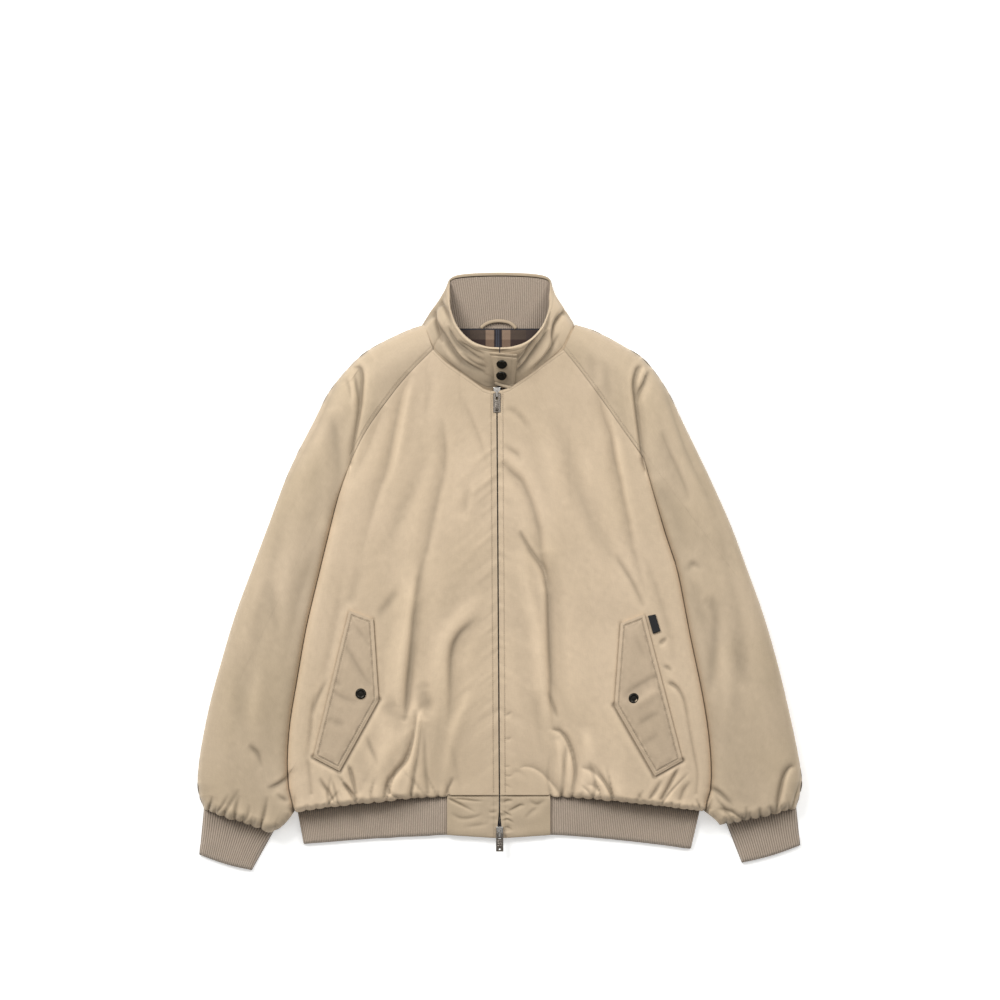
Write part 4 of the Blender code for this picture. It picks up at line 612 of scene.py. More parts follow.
def wrinkles(x, y):
    """Small creases along the cloth: sharp where smooth noise crosses zero, stretched down body and sleeves.

    On the body the noise fans out from the neck; on a sleeve it follows the sleeve between its two edges.
    """
    across = x / (1.0 + 0.0016 * np.clip(259.0 - y, -60.0, 600.0))
    along = y + 0.0
    for side, sign in SIDES.items():
        inner = np.minimum(distance_to(VALLEYS[side], x, y), distance_to(RAGLANS[side], x, y))
        line_x = np.interp(-y, -SEAM_LINES[side][:, 1], SEAM_LINES[side][:, 0])
        on_sleeve = x * sign > line_x * sign
        outer = distance_to(OUTLINES[side], x, y)
        across = np.where(on_sleeve, 400.0 * sign + 95.0 * outer / (outer + inner + 1.0), across)
    strong = 0.5 + 0.5 * ripple(x, y, (90.0, 120.0), 6)
    depth = np.zeros_like(x)
    for size, sharp, deep, seed in (((46.0, 170.0), 2.0, 1.0, 7), ((26.0, 80.0), 2.0, 0.3, 8)):
        noise = ripple(across + 6.0 * ripple(across, along, (60.0, 60.0), seed + 20), along, size, seed)
        depth += deep * strong * ((1.0 - np.abs(noise)) ** sharp - 0.45)
    soft = 1.9 * ripple(across, along, (44.0, 150.0), 1) + 0.7 * ripple(across, along, (24.0, 52.0), 2)
    crisp = 0.14 * ripple(x + 0.4 * y, y - 0.3 * x, (7.0, 9.0), 3)
    return depth + soft + crisp


def jacket_height(x, y):
    """Upper face: padding, less seams drawn in, creases, gathers, and the padding's own unevenness."""
    plain = plain_height(x, y)
    share = np.clip((plain - EDGE_HEIGHT) / (FULL_HEIGHT - EDGE_HEIGHT), 0.0, 1.0)
    drawn = np.zeros_like(x)
    for line, deep, width in ((ZIP_LINE, 1.6, 7.0), (NECK_SEAM, 0.3, 1.6), (RAGLANS["right"], 0.5, 1.8),
                              (RAGLANS["left"], 0.5, 1.8)):
        drawn += deep * np.exp(-(distance_to(line, x, y) / width) ** 2)
    # The tape of the zip holds the cloth short, which puckers it in slanting folds
    from_zip = distance_to(ZIP_LINE, x, y)
    lean = y + np.where(x < 0, 0.75, 0.35) * np.abs(x)
    held = smoothstep(250.0, 120.0, y)
    drawn += 0.5 * np.exp(-(from_zip / 11.0) ** 2) * ripple(x * 0.4, lean, (9.0, 6.5), 4)
    drawn += (np.where(x < 0, 1.1, 0.6) * held * np.exp(-(from_zip / 46.0) ** 2)
              * (ripple(x, lean, (44.0, 17.0), 5) + ripple(x, lean, (30.0, 8.0), 9) * 0.4))
    valley = sum(np.exp(-(distance_to(VALLEYS[side], x, y) / 2.4) ** 1.1) for side in SIDES) * valley_share(y)
    for corners in FLAPS.values():
        free = np.array(corners[1:5], float)
        drawn += 0.8 * np.exp(-(distance_to(free[:2], x, y) / 3.0) ** 2)
        drawn += 2.4 * np.exp(-(distance_to(free[1:], x, y) / 4.0) ** 2)
    clear = clear_of_flaps(x, y)
    folds = clear * crease_depth(x, y, ALL_CREASES, 3.2)
    folds = folds + wrinkles(x, y) * smoothstep(-2.0, 24.0, y - hem_seam_y(x))
    height = (plain - share ** 0.5 * (drawn + folds) - 3.2 * np.clip(valley, 0, 1) * (0.35 + 0.65 * share)
              - gather_depth(x, y))
    lowest = BACK_SHARE * plain + 1.6
    return np.where(height > lowest + 2.0, height, lowest + 2.0 * np.exp((height - lowest - 2.0) / 2.0))


def in_millimetres(table):
    """A table of creases with its points in millimetres."""
    return [(left, right, power, [(*picture(x, y), deep) for x, y, deep in points])
            for left, right, power, points in table]


ALL_CREASES = in_millimetres(CREASES) + tuck_creases()


def meeting_height(x, y):
    """Where the back wall meets the front wall."""
    return BACK_SHARE * plain_height(x, y)


# ---- meshes ---------------------------------------------------------------------------------------
def collect(name):
    """The collection of the finished pieces."""
    found = bpy.data.collections.get(name)
    if found is None:
        found = bpy.data.collections.new(name)
        bpy.context.scene.collection.children.link(found)
    return found


def mesh_object(name, points, faces, material, attributes=None):
    """Millimetre points and faces to an object at the origin, with its attributes (a vector per point)."""
    mesh = bpy.data.meshes.new(name)
    faces = faces.tolist() if isinstance(faces, np.ndarray) else faces
    mesh.from_pydata((np.asarray(points) * MM).tolist(), [], faces)
    for key, values in (attributes or {}).items():
        layer = mesh.attributes.new(key, "FLOAT_VECTOR", "POINT")
        layer.data.foreach_set("vector", np.ascontiguousarray(values, dtype=np.float32).ravel())
    mesh.materials.append(material)
    mesh.shade_smooth()
    thing = bpy.data.objects.new(name, mesh)
    collect("jacket_pieces").objects.link(thing)
    return thing


def grid_numbers(rows, columns, wrap=False, start=0):
    """Quads of a grid, anticlockwise when rows run up and columns run to the right."""
    number = start + np.arange(rows * columns).reshape(rows, columns)
    if wrap:
        number = np.column_stack((number, number[:, :1]))
    corners = (number[:-1, :-1], number[:-1, 1:], number[1:, 1:], number[1:, :-1])
    return np.stack([corner.ravel() for corner in corners], axis=1)


def sharpen_border(thing, rows, columns):
    """Marks the outline where the cloth turns down as sharp, so that its shading doesn't bleed over it."""
    mesh = thing.data
    ends = np.empty(len(mesh.edges) * 2, np.int32)
    mesh.edges.foreach_get("vertices", ends)
    row, column = ends.reshape(-1, 2) // columns, ends.reshape(-1, 2) % columns
    along_row = ((row == 1) | (row == rows - 2)).all(1) & (row[:, 0] == row[:, 1])
    along_column = ((column == 1) | (column == columns - 2)).all(1) & (column[:, 0] == column[:, 1])
    inside = ((row > 0) & (row < rows - 1) & (column > 0) & (column < columns - 1)).all(1)
    layer = mesh.attributes.new("sharp_edge", "BOOLEAN", "EDGE")
    layer.data.foreach_set("value", (along_row | along_column) & inside)


def grid_object(name, points, material, cloth=None, stitch=None, flip=False, shaded=0.0,
                turned_down=False):
    """Grid of points rows x columns x 3 with cloth coordinates (mm along the cloth) and stitch distances.

    The third cloth coordinate is how deep the cloth lies in a fold, which the cloth's material paints as
    shade; shaded adds painted shade and light to it along seams and edges.
    """
    rows, columns = points.shape[:2]
    faces = grid_numbers(rows, columns)
    if flip:
        faces = faces[:, ::-1]
    attributes = {}
    if cloth is not None:
        deep = np.pad(hollows(points[1:-1, 1:-1]), 1, "edge") if turned_down else hollows(points)
        attributes["cloth_mm"] = np.dstack((cloth, deep + shaded)).reshape(-1, 3)
    if stitch is not None:
        attributes["stitch_mm"] = stitch.reshape(-1, 3)
    thing = mesh_object(name, points.reshape(-1, 3), faces, material, attributes)
    if turned_down:
        sharpen_border(thing, rows, columns)
    return thing


def lengths(points):
    """Cloth coordinates of a grid: running length along its rows and its columns, both from the middle."""
    across = np.linalg.norm(np.diff(points, axis=1), axis=2)
    across = np.concatenate((np.zeros((len(points), 1)), np.cumsum(across, axis=1)), axis=1)
    along = np.linalg.norm(np.diff(points, axis=0), axis=2)
    along = np.concatenate((np.zeros((1, points.shape[1])), np.cumsum(along, axis=0)), axis=0)
    across -= across[:, -1:] / 2
    return np.dstack((across, along))


def hollows(points):
    """How far each grid point lies below its neighbours two, five and thirteen steps away, in millimetres."""
    z = points[..., 2]
    total = np.zeros_like(z)
    for reach, weight in ((2, 0.9), (5, 0.35), (13, 0.16)):
        wide = np.pad(z, reach, "reflect", reflect_type="odd")
        around = (wide[:-2 * reach, reach:-reach] + wide[2 * reach:, reach:-reach]
                  + wide[reach:-reach, :-2 * reach] + wide[reach:-reach, 2 * reach:])
        total += weight * np.clip(around / 4 - z, -2.5, 2.5)
    return total


def skirted(grid, low, turn_in=0.6):
    """Adds a turned-down border to a grid: the edge repeated at the height low, moved in a little."""
    middle = grid[..., :2].mean((0, 1))
    points = np.pad(grid, ((1, 1), (1, 1), (0, 0)), "edge")
    inward = middle - points[..., :2]
    inward /= np.maximum(np.linalg.norm(inward, axis=2, keepdims=True), 1.0)
    border = np.ones(points.shape[:2], bool)
    border[1:-1, 1:-1] = False
    points[border, :2] += turn_in * inward[border]
    height = np.pad(low, 1, "edge")
    points[border, 2] = np.minimum(height[border], points[border, 2] - 0.5)
    return points


def stitch_distances(points, lines):
    """Signed distances to up to three stitched lines, at most STITCH_REACH."""
    x, y = points[..., 0], points[..., 1]
    found = [np.clip(nearest(line, x, y)[0], -STITCH_REACH, STITCH_REACH) for line in lines[:3]]
    while len(found) < 3:
        found.append(np.full(x.shape, STITCH_REACH))
    return np.dstack(found)


def finish_piece(thing, body, replaces=()):
    """Rides a piece on its body and the nodes it stands for."""
    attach(thing, body)
    if replaces:
        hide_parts(*replaces)
    return thing


# ---- materials ------------------------------------------------------------------------------------
def srgb(code):
    """sRGB hex to linear colour."""
    parts = [int(code[i:i + 2], 16) / 255 for i in (1, 3, 5)]
    return tuple(p / 12.92 if p <= 0.04045 else ((p + 0.055) / 1.055) ** 2.4 for p in parts) + (1.0,)


def add(tree, kind, inputs=None, **settings):
    """Adds a node with its settings; inputs are values or sockets by name or number."""
    made = tree.nodes.new(kind)
    for key, value in settings.items():
        setattr(made, key, value)
    for key, value in (inputs or {}).items():
        if isinstance(value, bpy.types.NodeSocket):
            tree.links.new(value, made.inputs[key])
        else:
            made.inputs[key].default_value = value
    return made


def new_material(name):
    """A material with its nodes and shader, or the one of that name without them when it is already made."""
    found = bpy.data.materials.get(name)
    if found:
        return found, None, None
    made = bpy.data.materials.new(name)
    made.use_nodes = True
    return made, made.node_tree, made.node_tree.nodes["Principled BSDF"]


def darkened(tree, tone, shares):
    """A colour multiplied by each of the shares in turn."""
    for share in shares:
        grey = add(tree, "ShaderNodeCombineColor", {0: share, 1: share, 2: share}).outputs[0]
        tone = add(tree, "ShaderNodeMix", {0: 1.0, 6: tone, 7: grey}, data_type="RGBA",
                   blend_type="MULTIPLY").outputs[2]
    return tone


def shell_cloth(cut="shell"):
    """Dense cotton-nylon poplin with a water-repellent finish: matt khaki, fine slubs, a faint sheen.

    The sleeves, collar and flaps, and the pieces that share their colours, get darker copies of the shell's
    colours: painted shade. Folds, seams and stitch grooves are painted darker as shade, and ridges paler as
    highlight.
    """
    made, tree, shader = new_material("shell_cotton_poplin_" + cut)
    if tree is None:
        return made
    colours = bpy.context.scene.jacket_colours
    place = add(tree, "ShaderNodeTexCoord").outputs["Object"]
    cloth = add(tree, "ShaderNodeAttribute", attribute_name="cloth_mm").outputs["Vector"]
    # Cloudy fading over 90 mm, as on washed and pressed cotton
    cloud = add(tree, "ShaderNodeTexNoise", {"Vector": place, "Scale": 9.0, "Detail": 3.0}).outputs["Fac"]
    cloud = add(tree, "ShaderNodeMath", {0: cloud, 1: 1.6, 2: -0.3}, operation="MULTIPLY_ADD").outputs[0]
    # Painted shade: the sleeve, collar and flap cuts read darker copies of the shell's colours
    light, dull = srgb(getattr(colours, cut)), srgb(getattr(colours, cut + "_shade"))
    tone = add(tree, "ShaderNodeMix", {0: cloud, 6: dull, 7: light}, data_type="RGBA").outputs[2]
    # Yarn of uneven thickness streaks the cloth along the warp: 5 mm wide, 60 mm long
    warp = add(tree, "ShaderNodeMapping", {"Vector": cloth, "Scale": (0.14, 0.03, 0.0)}).outputs[0]
    streak = add(tree, "ShaderNodeTexNoise", {"Vector": warp, "Scale": 1.0, "Detail": 3.0}).outputs["Fac"]
    streak = add(tree, "ShaderNodeMath", {0: streak, 1: 0.07, 2: 0.965}, operation="MULTIPLY_ADD").outputs[0]
    # Painted shade in folds and painted highlight on ridges: the third number is how deep the cloth lies,
    # plus painted shade and light added along seams and edges
    fold = add(tree, "ShaderNodeSeparateXYZ", {0: cloth}).outputs[2]
    painted_light_and_shade = add(tree, "ShaderNodeMapRange", {0: fold, 1: -1.2, 2: 1.4, 3: 1.15, 4: 0.62}).outputs[0]
    # Slubs: threads 0.3 mm apart are too fine to show, so they are drawn 1.3 mm apart and 14 mm long
    slubs = []
    for scale in ((0.62, 0.12, 0.0), (0.12, 0.62, 0.0)):
        drawn = add(tree, "ShaderNodeMapping", {"Vector": cloth, "Scale": scale}).outputs[0]
        noise = add(tree, "ShaderNodeTexNoise", {"Vector": drawn, "Scale": 1.0, "Detail": 2.0})
        slubs.append(noise.outputs["Fac"])
    slub = add(tree, "ShaderNodeMath", dict(enumerate(slubs)), operation="ADD").outputs[0]
    slub = add(tree, "ShaderNodeMath", {0: slub, 1: 0.5}, operation="MULTIPLY").outputs[0]
    fleck = add(tree, "ShaderNodeMath", {0: slub, 1: 0.22, 2: 0.89}, operation="MULTIPLY_ADD").outputs[0]
    # Topstitched lines sink 0.5 mm into the padding over 1.6 mm to each side, and the groove is painted 7%
    # darker as shade
    seam = add(tree, "ShaderNodeAttribute", attribute_name="stitch_mm").outputs["Vector"]
    parts = add(tree, "ShaderNodeSeparateXYZ", {0: seam}).outputs
    offs = [add(tree, "ShaderNodeMath", {0: part}, operation="ABSOLUTE").outputs[0] for part in parts]
    off = add(tree, "ShaderNodeMath", {0: offs[0], 1: offs[1]}, operation="MINIMUM").outputs[0]
    off = add(tree, "ShaderNodeMath", {0: off, 1: offs[2]}, operation="MINIMUM").outputs[0]
    groove = add(tree, "ShaderNodeMapRange", {0: off, 1: 0.0, 2: 1.6, 3: 0.0, 4: 1.0},
                 interpolation_type="SMOOTHSTEP").outputs[0]
    groove_shade = add(tree, "ShaderNodeMath", {0: groove, 1: 0.07, 2: 0.93}, operation="MULTIPLY_ADD").outputs[0]
    tree.links.new(darkened(tree, tone, (streak, painted_light_and_shade, fleck, groove_shade)), shader.inputs["Base Color"])
    fine = add(tree, "ShaderNodeBump", {"Strength": 0.5, "Distance": 0.00035, "Height": slub}).outputs[0]
    sunk = add(tree, "ShaderNodeBump",
               {"Strength": 0.6, "Distance": 0.0005, "Height": groove, "Normal": fine})
    tree.links.new(sunk.outputs[0], shader.inputs["Normal"])
    shader.inputs["Roughness"].default_value = 0.72
    shader.inputs["Specular IOR Level"].default_value = 0.35
    shader.inputs["Sheen Weight"].default_value = 0.12
    shader.inputs["Sheen Roughness"].default_value = 0.45
    return made


def rib_knit():
    """Wool-blend 1x1 rib: matt taupe with a soft halo, V-shaped stitches down every rib."""
    made, tree, shader = new_material("rib_wool_knit")
    if tree is None:
        return made
    colours = bpy.context.scene.jacket_colours
    cloth = add(tree, "ShaderNodeAttribute", attribute_name="cloth_mm").outputs["Vector"]
    parts = add(tree, "ShaderNodeSeparateXYZ", {0: cloth}).outputs
    pitch = bpy.context.scene.jacket_knit.rib_pitch / MM
    # Each stitch is a V 1.9 mm high whose arms rise from the middle of the rib
    across = add(tree, "ShaderNodeMath", {0: parts[0], 1: pitch}, operation="DIVIDE").outputs[0]
    across = add(tree, "ShaderNodeMath", {0: across, 1: 0.5}, operation="PINGPONG").outputs[0]
    row = add(tree, "ShaderNodeMath", {0: parts[1], 1: 1.9}, operation="DIVIDE").outputs[0]
    rise = add(tree, "ShaderNodeMath", {0: across, 1: 1.6, 2: row}, operation="MULTIPLY_ADD").outputs[0]
    turn = add(tree, "ShaderNodeMath", {0: rise, 1: 2 * math.pi}, operation="MULTIPLY").outputs[0]
    loop = add(tree, "ShaderNodeMath", {0: turn}, operation="SINE").outputs[0]
    loop = add(tree, "ShaderNodeMath", {0: loop, 1: 0.5, 2: 0.5}, operation="MULTIPLY_ADD").outputs[0]
    # Painted shade: furrows between the ribs are painted darker; the third number is 0 in a furrow and 1 on a
    # crest
    crest = add(tree, "ShaderNodeMapRange", {0: parts[2], 1: 0.0, 2: 1.0, 3: 0.0, 4: 1.0}).outputs[0]
    furrow, ridge = srgb(colours.knit_furrow_shade), srgb(colours.knit)
    tone = add(tree, "ShaderNodeMix", {0: crest, 6: furrow, 7: ridge}, data_type="RGBA").outputs[2]
    fuzz = add(tree, "ShaderNodeTexNoise", {"Vector": cloth, "Scale": 0.45, "Detail": 4.0}).outputs["Fac"]
    lift = add(tree, "ShaderNodeMath", {0: fuzz, 1: 0.34, 2: 0.74}, operation="MULTIPLY_ADD").outputs[0]
    lift = add(tree, "ShaderNodeMath", {0: loop, 1: 0.14, 2: lift}, operation="MULTIPLY_ADD").outputs[0]
    tree.links.new(darkened(tree, tone, (lift,)), shader.inputs["Base Color"])
    bump = add(tree, "ShaderNodeBump", {"Strength": 0.6, "Distance": 0.0004, "Height": loop}).outputs[0]
    tree.links.new(bump, shader.inputs["Normal"])
    shader.inputs["Roughness"].default_value = 0.92
    shader.inputs["Specular IOR Level"].default_value = 0.2
    shader.inputs["Sheen Weight"].default_value = 0.25
    shader.inputs["Sheen Roughness"].default_value = 0.6
    return made


def check_lining():
    """Brushed cotton twill in a plain check: brown ground, darker bars, two tan stripes round a navy one."""
    made, tree, shader = new_material("lining_check_twill")
    if tree is None:
        return made
    place = add(tree, "ShaderNodeTexCoord").outputs["Object"]
    parts = add(tree, "ShaderNodeSeparateXYZ", {0: place}).outputs
    x, y = (add(tree, "ShaderNodeMath", {0: part, 1: 1 / MM}, operation="MULTIPLY").outputs[0]
            for part in parts[:2])

    def stripe(value, centre, half, strength, under, over):
        """One colour over another up to half a width from a line, with edges 0.6 mm soft."""
        off = add(tree, "ShaderNodeMath", {0: value, 1: centre}, operation="SUBTRACT").outputs[0]
        off = add(tree, "ShaderNodeMath", {0: off}, operation="ABSOLUTE").outputs[0]
        share = add(tree, "ShaderNodeMapRange", {0: off, 1: half - 0.3, 2: half + 0.3, 3: strength, 4: 0.0})
        inputs = {0: share.outputs[0], 6: under, 7: over}
        return add(tree, "ShaderNodeMix", inputs, data_type="RGBA").outputs[2]

    # The check repeats every 92 mm across; the lining shows one repeat
    tone = stripe(y, 310.0, 16.0, 1.0, srgb("#4B3D33"), srgb("#36241F"))
    tan = stripe(y, 310.0, 16.0, 1.0, srgb("#8A7360"), srgb("#765E4C"))
    for value, centre, half, strength, colour in (
            (x, -50.0, 8.0, 0.5, srgb("#352B2D")), (x, 45.0, 8.0, 0.5, srgb("#352B2D")),
            (x, -14.0, 5.8, 1.0, tan), (x, 9.1, 5.8, 1.0, tan), (x, -2.4, 4.8, 1.0, srgb("#221A1F")),
            (x, -4.4, 0.9, 0.5, srgb("#4C4F5C")), (x, -1.6, 0.9, 0.5, srgb("#4C4F5C")),
            (y, LINING_TOP_Y, 1.9, 1.0, srgb("#23232B"))):
        tone = stripe(value, centre, half, strength, tone, colour)
    # The twill runs slanting, one wale every 1.5 mm
    slant = add(tree, "ShaderNodeMath", {0: x, 1: y}, operation="ADD").outputs[0]
    slant = add(tree, "ShaderNodeMath", {0: slant, 1: 4.2}, operation="MULTIPLY").outputs[0]
    twill = add(tree, "ShaderNodeMath", {0: slant}, operation="SINE").outputs[0]
    lift = add(tree, "ShaderNodeMath", {0: twill, 1: 0.08, 2: 0.95}, operation="MULTIPLY_ADD").outputs[0]
    tree.links.new(darkened(tree, tone, (lift,)), shader.inputs["Base Color"])
    bump = add(tree, "ShaderNodeBump", {"Strength": 0.4, "Distance": 0.0002, "Height": twill}).outputs[0]
    tree.links.new(bump, shader.inputs["Normal"])
    shader.inputs["Roughness"].default_value = 0.88
    shader.inputs["Sheen Weight"].default_value = 0.2
    return made


def plated_metal(name, dark, light, roughness, wear_scale):
    """Die-cast metal with a plated finish, duller where hands and cloth rub it."""
    made, tree, shader = new_material(name)
    if tree is None:
        return made
    place = add(tree, "ShaderNodeTexCoord").outputs["Object"]
    noise = add(tree, "ShaderNodeTexNoise", {"Vector": place, "Scale": wear_scale, "Detail": 5.0})
    wear = noise.outputs["Fac"]
    tone = add(tree, "ShaderNodeMix", {0: wear, 6: srgb(dark), 7: srgb(light)}, data_type="RGBA").outputs[2]
    tree.links.new(tone, shader.inputs["Base Color"])
    rough = add(tree, "ShaderNodeMath", {0: wear, 1: 0.3, 2: roughness - 0.15}, operation="MULTIPLY_ADD")
    tree.links.new(rough.outputs[0], shader.inputs["Roughness"])
    bump = add(tree, "ShaderNodeBump", {"Strength": 0.25, "Distance": 0.0001, "Height": wear}).outputs[0]
    tree.links.new(bump, shader.inputs["Normal"])
    shader.inputs["Metallic"].default_value = 1.0
    return made


def spun_thread():
    """Spun polyester sewing thread: a shade lighter than the cloth, with a soft gloss."""
    made, tree, shader = new_material("thread_polyester")
    if tree is None:
        return made
    place = add(tree, "ShaderNodeTexCoord").outputs["Object"]
    ply = add(tree, "ShaderNodeTexNoise", {"Vector": place, "Scale": 1400.0, "Detail": 2.0}).outputs["Fac"]
    tone = add(tree, "ShaderNodeMix", {0: ply, 6: srgb("#A8977F"), 7: srgb("#D2C1A8")},
               data_type="RGBA").outputs[2]
    tree.links.new(tone, shader.inputs["Base Color"])
    shader.inputs["Roughness"].default_value = 0.5
    return made


def woven_tape(name, dark, light):
    """Close-woven polyester tape, plain: a fine checker of two near tones reads as its weave."""
    made, tree, shader = new_material(name)
    if tree is None:
        return made
    place = add(tree, "ShaderNodeTexCoord").outputs["Object"]
    weave = add(tree, "ShaderNodeTexChecker", {"Vector": place, "Scale": 1600.0}).outputs["Fac"]
    tone = add(tree, "ShaderNodeMix", {0: weave, 6: srgb(dark), 7: srgb(light)}, data_type="RGBA").outputs[2]
    tree.links.new(tone, shader.inputs["Base Color"])
    bump = add(tree, "ShaderNodeBump", {"Strength": 0.3, "Distance": 0.0002, "Height": weave}).outputs[0]
    tree.links.new(bump, shader.inputs["Normal"])
    shader.inputs["Roughness"].default_value = 0.75
    return made


# ---- body -----------------------------------------------------------------------------------------
def front_plan(side, u, v):
    """Plan of a front: rows from hem to neck at the shares v, columns from side to zip at the shares u."""
    beside_zip = SIDES[side] * ZIP_GAP / 2
    edge = chain(raglan(side), body_side(side))[::-1]
    edge = edge - np.array((SIDES[side] * SEAM_GAP / 2, 0.0))
    neck = neck_front(side)
    neck = neck + (1 - np.linspace(0, 1, len(neck))[:, None]) * (edge[-1] - neck[0])
    hem_x = np.linspace(edge[0, 0], zip_x(HEM_Y) + beside_zip, 120)
    hem = np.column_stack((hem_x, hem_seam_y(hem_x)))
    hem[0] = edge[0]
    middle_y = np.linspace(HEM_Y, NECK_FRONT_Y, 120)
    middle = np.column_stack((zip_x(middle_y) + beside_zip, middle_y))
    return patch(hem, neck, edge, middle, u, v)


def puffed_hem(points):
    """Moves the lowest cloth out over the rib between tucks: 3 mm at most, less by exp(-height / 9 mm)."""
    x, y = points[..., 0], points[..., 1]
    above = y - hem_seam_y(x)
    arch, width = hem_puffs(x)
    reach = np.clip(width / 16.0, 0.4, 1.1) * 3.0 * arch * (np.abs(x) > 70.0)
    points[..., 1] -= reach * np.exp(-np.clip(above, 0, None) / 9.0)
    return points


def edge_shade(points, side):
    """Painted shade: dark lines at the hem and neck seams and the sewn side, painted shadows under the flap's
    edges, the upper chest painted darker and the front beside the lower zip painted lighter.
    """
    x, y = points[..., 0], points[..., 1]
    flap = np.array(FLAPS[side][:5], float)
    shade = np.zeros_like(x)
    for line, deep, width in ((NECK_SEAM, 1.1, 0.9), (SEAM_LINES[side], 0.7, 0.8), (flap[2:4], 2.2, 3.0),
                              (flap[3:5], 2.2, 3.0), (flap[1:3], 0.8, 1.6), (flap[[4, 0]], 0.7, 1.4)):
        shade += deep * np.exp(-(distance_to(line, x, y) / width) ** 2)
    belly = smoothstep(-40.0, -150.0, y) * smoothstep(200.0, 80.0, np.abs(x))
    shade += 0.22 * smoothstep(150.0, 240.0, y) - 0.45 * belly
    gathered = smoothstep(66.0, 74.0, np.abs(x))
    off = distance_to(HEM_SEAM, x, y) / (0.6 + 1.0 * gathered)
    return shade + (0.2 + 1.9 * gathered) * np.exp(-off ** 2)


def make_front(side):
    """One front: its plan at the jacket's height, its edge turned down on the back, gathered at the hem."""
    u, v = eased(190, 0.55), eased(400, 0.5)
    plan = front_plan(side, u, v)
    x, y = plan[..., 0], plan[..., 1]
    height = jacket_height(x, y)
    grid = puffed_hem(np.dstack((plan, height)))
    low = meeting_height(x, y) + LAYER_GAP
    low[:4] = HEM_RIB_TOP - 0.4
    points = skirted(grid, low)
    sign = SIDES[side]
    zip_stitch = ZIP_LINE + np.array((sign * ZIP_STITCH, 0.0))
    below_neck = NECK_SEAM - np.array((0.0, NECK_STITCH))
    stitch = stitch_distances(points, [zip_stitch, below_neck])
    piece = grid_object(f"front_{side}_cloth", points, shell_cloth(), lengths(points), stitch,
                        flip=side == "left", shaded=np.pad(edge_shade(plan, side), 1, "edge"),
                        turned_down=True)
    finish_piece(piece, "jacket", [f"front_{side}"])
    return piece


def slab(plan, top):
    """Closed slab: the plan at the height top and again on the floor, with walls; and its rim's numbers."""
    number = np.arange(top.size).reshape(top.shape)
    rim = np.concatenate((number[0, :-1], number[:-1, -1], number[-1, :0:-1], number[:0:-1, 0]))
    after = np.roll(rim, -1)
    faces = np.vstack((grid_numbers(*top.shape), grid_numbers(*top.shape, start=top.size)[:, ::-1],
                       np.column_stack((rim, rim + top.size, after + top.size, after))))
    points = np.vstack([np.dstack((plan, z)).reshape(-1, 3) for z in (top, np.zeros_like(top))])
    return points, faces, rim


def make_back():
    """Back panel: flat on the surface, its edge turned up to meet the fronts, then up to the neck."""
    u, v = eased(40, 0.6), eased(90, 0.5)
    right, left = (front_plan(side, u, v) for side in SIDES)
    under = np.concatenate((right, left[:, ::-1]), 1)
    neck_x = np.linspace(-BACK_NECK_HALF, BACK_NECK_HALF, under.shape[1])
    neck = np.column_stack((neck_x, np.full(len(neck_x), NECK_BACK_Y)))
    share = np.linspace(0, 1, 14)[1:, None, None]
    plan = np.concatenate((under, under[-1:] * (1 - share) + neck * share))
    top = meeting_height(plan[..., 0], plan[..., 1])
    rise = smoothstep(0.0, 0.35, share[:, 0])
    top[-13:] = top[-14] * (1 - rise) + BACK_NECK_HEIGHT * rise
    points, faces, _ = slab(plan, top)
    cloth = np.column_stack((points[:, :2], np.zeros(len(points))))
    stitch = np.full((len(points), 3), STITCH_REACH)
    piece = mesh_object("back_cloth", points, faces, shell_cloth(), {"cloth_mm": cloth, "stitch_mm": stitch})
    finish_piece(piece, "jacket", ["back_panel"])
    return piece


def sleeve_edges(side):
    """The four edges of a sleeve's plan: at neck and cuff, outer and inner."""
    outer = sleeve_outer(side)
    inner = chain(raglan(side), body_side(side), sleeve_tail(side))
    inner = inner + np.array((SIDES[side] * SEAM_GAP / 2, 0.0))
    inner[-1] = CUFF_CORNERS[side][1]
    neck, cuff = (np.array([outer[i], inner[i]]) for i in (0, -1))
    return neck, cuff, outer, inner


def sleeve_plan(side, u, v):
    """The sleeve's flat grid between its edges, its last rows kept just above the cuff's seam."""
    neck, cuff, outer, inner = sleeve_edges(side)
    plan = patch(neck, cuff, outer, inner, u, v)
    _, above, _ = cuff_frame(side, plan[..., 0], plan[..., 1])
    along = (cuff[1] - cuff[0]) / np.linalg.norm(cuff[1] - cuff[0])
    up = np.array((-along[1], along[0])) * -SIDES[side]
    least = 0.06 * np.arange(len(v))[::-1][:, None]
    return plan + np.maximum(least - above, 0.0)[..., None] * up


def puffed_cuff(points, side):
    """Moves the lowest cloth out over the cuff between tucks: up to 5.2 mm, less by exp(-height / 16 mm)."""
    share, above, _ = cuff_frame(side, points[..., 0], points[..., 1])
    arch, gap = puffs(share, CUFF_TUCKS[side])
    outer, inner = (np.asarray(point) for point in CUFF_CORNERS[side][:2])
    along = (inner - outer) / np.linalg.norm(inner - outer)
    down = np.array((along[1], -along[0])) * -SIDES[side]
    reach = np.clip(gap / 0.15, 0.5, 1.3) * 4.0 * arch * np.exp(-np.clip(above, 0, None) / 16.0)
    points[..., :2] += reach[..., None] * down * (above < 60)[..., None]
    return points


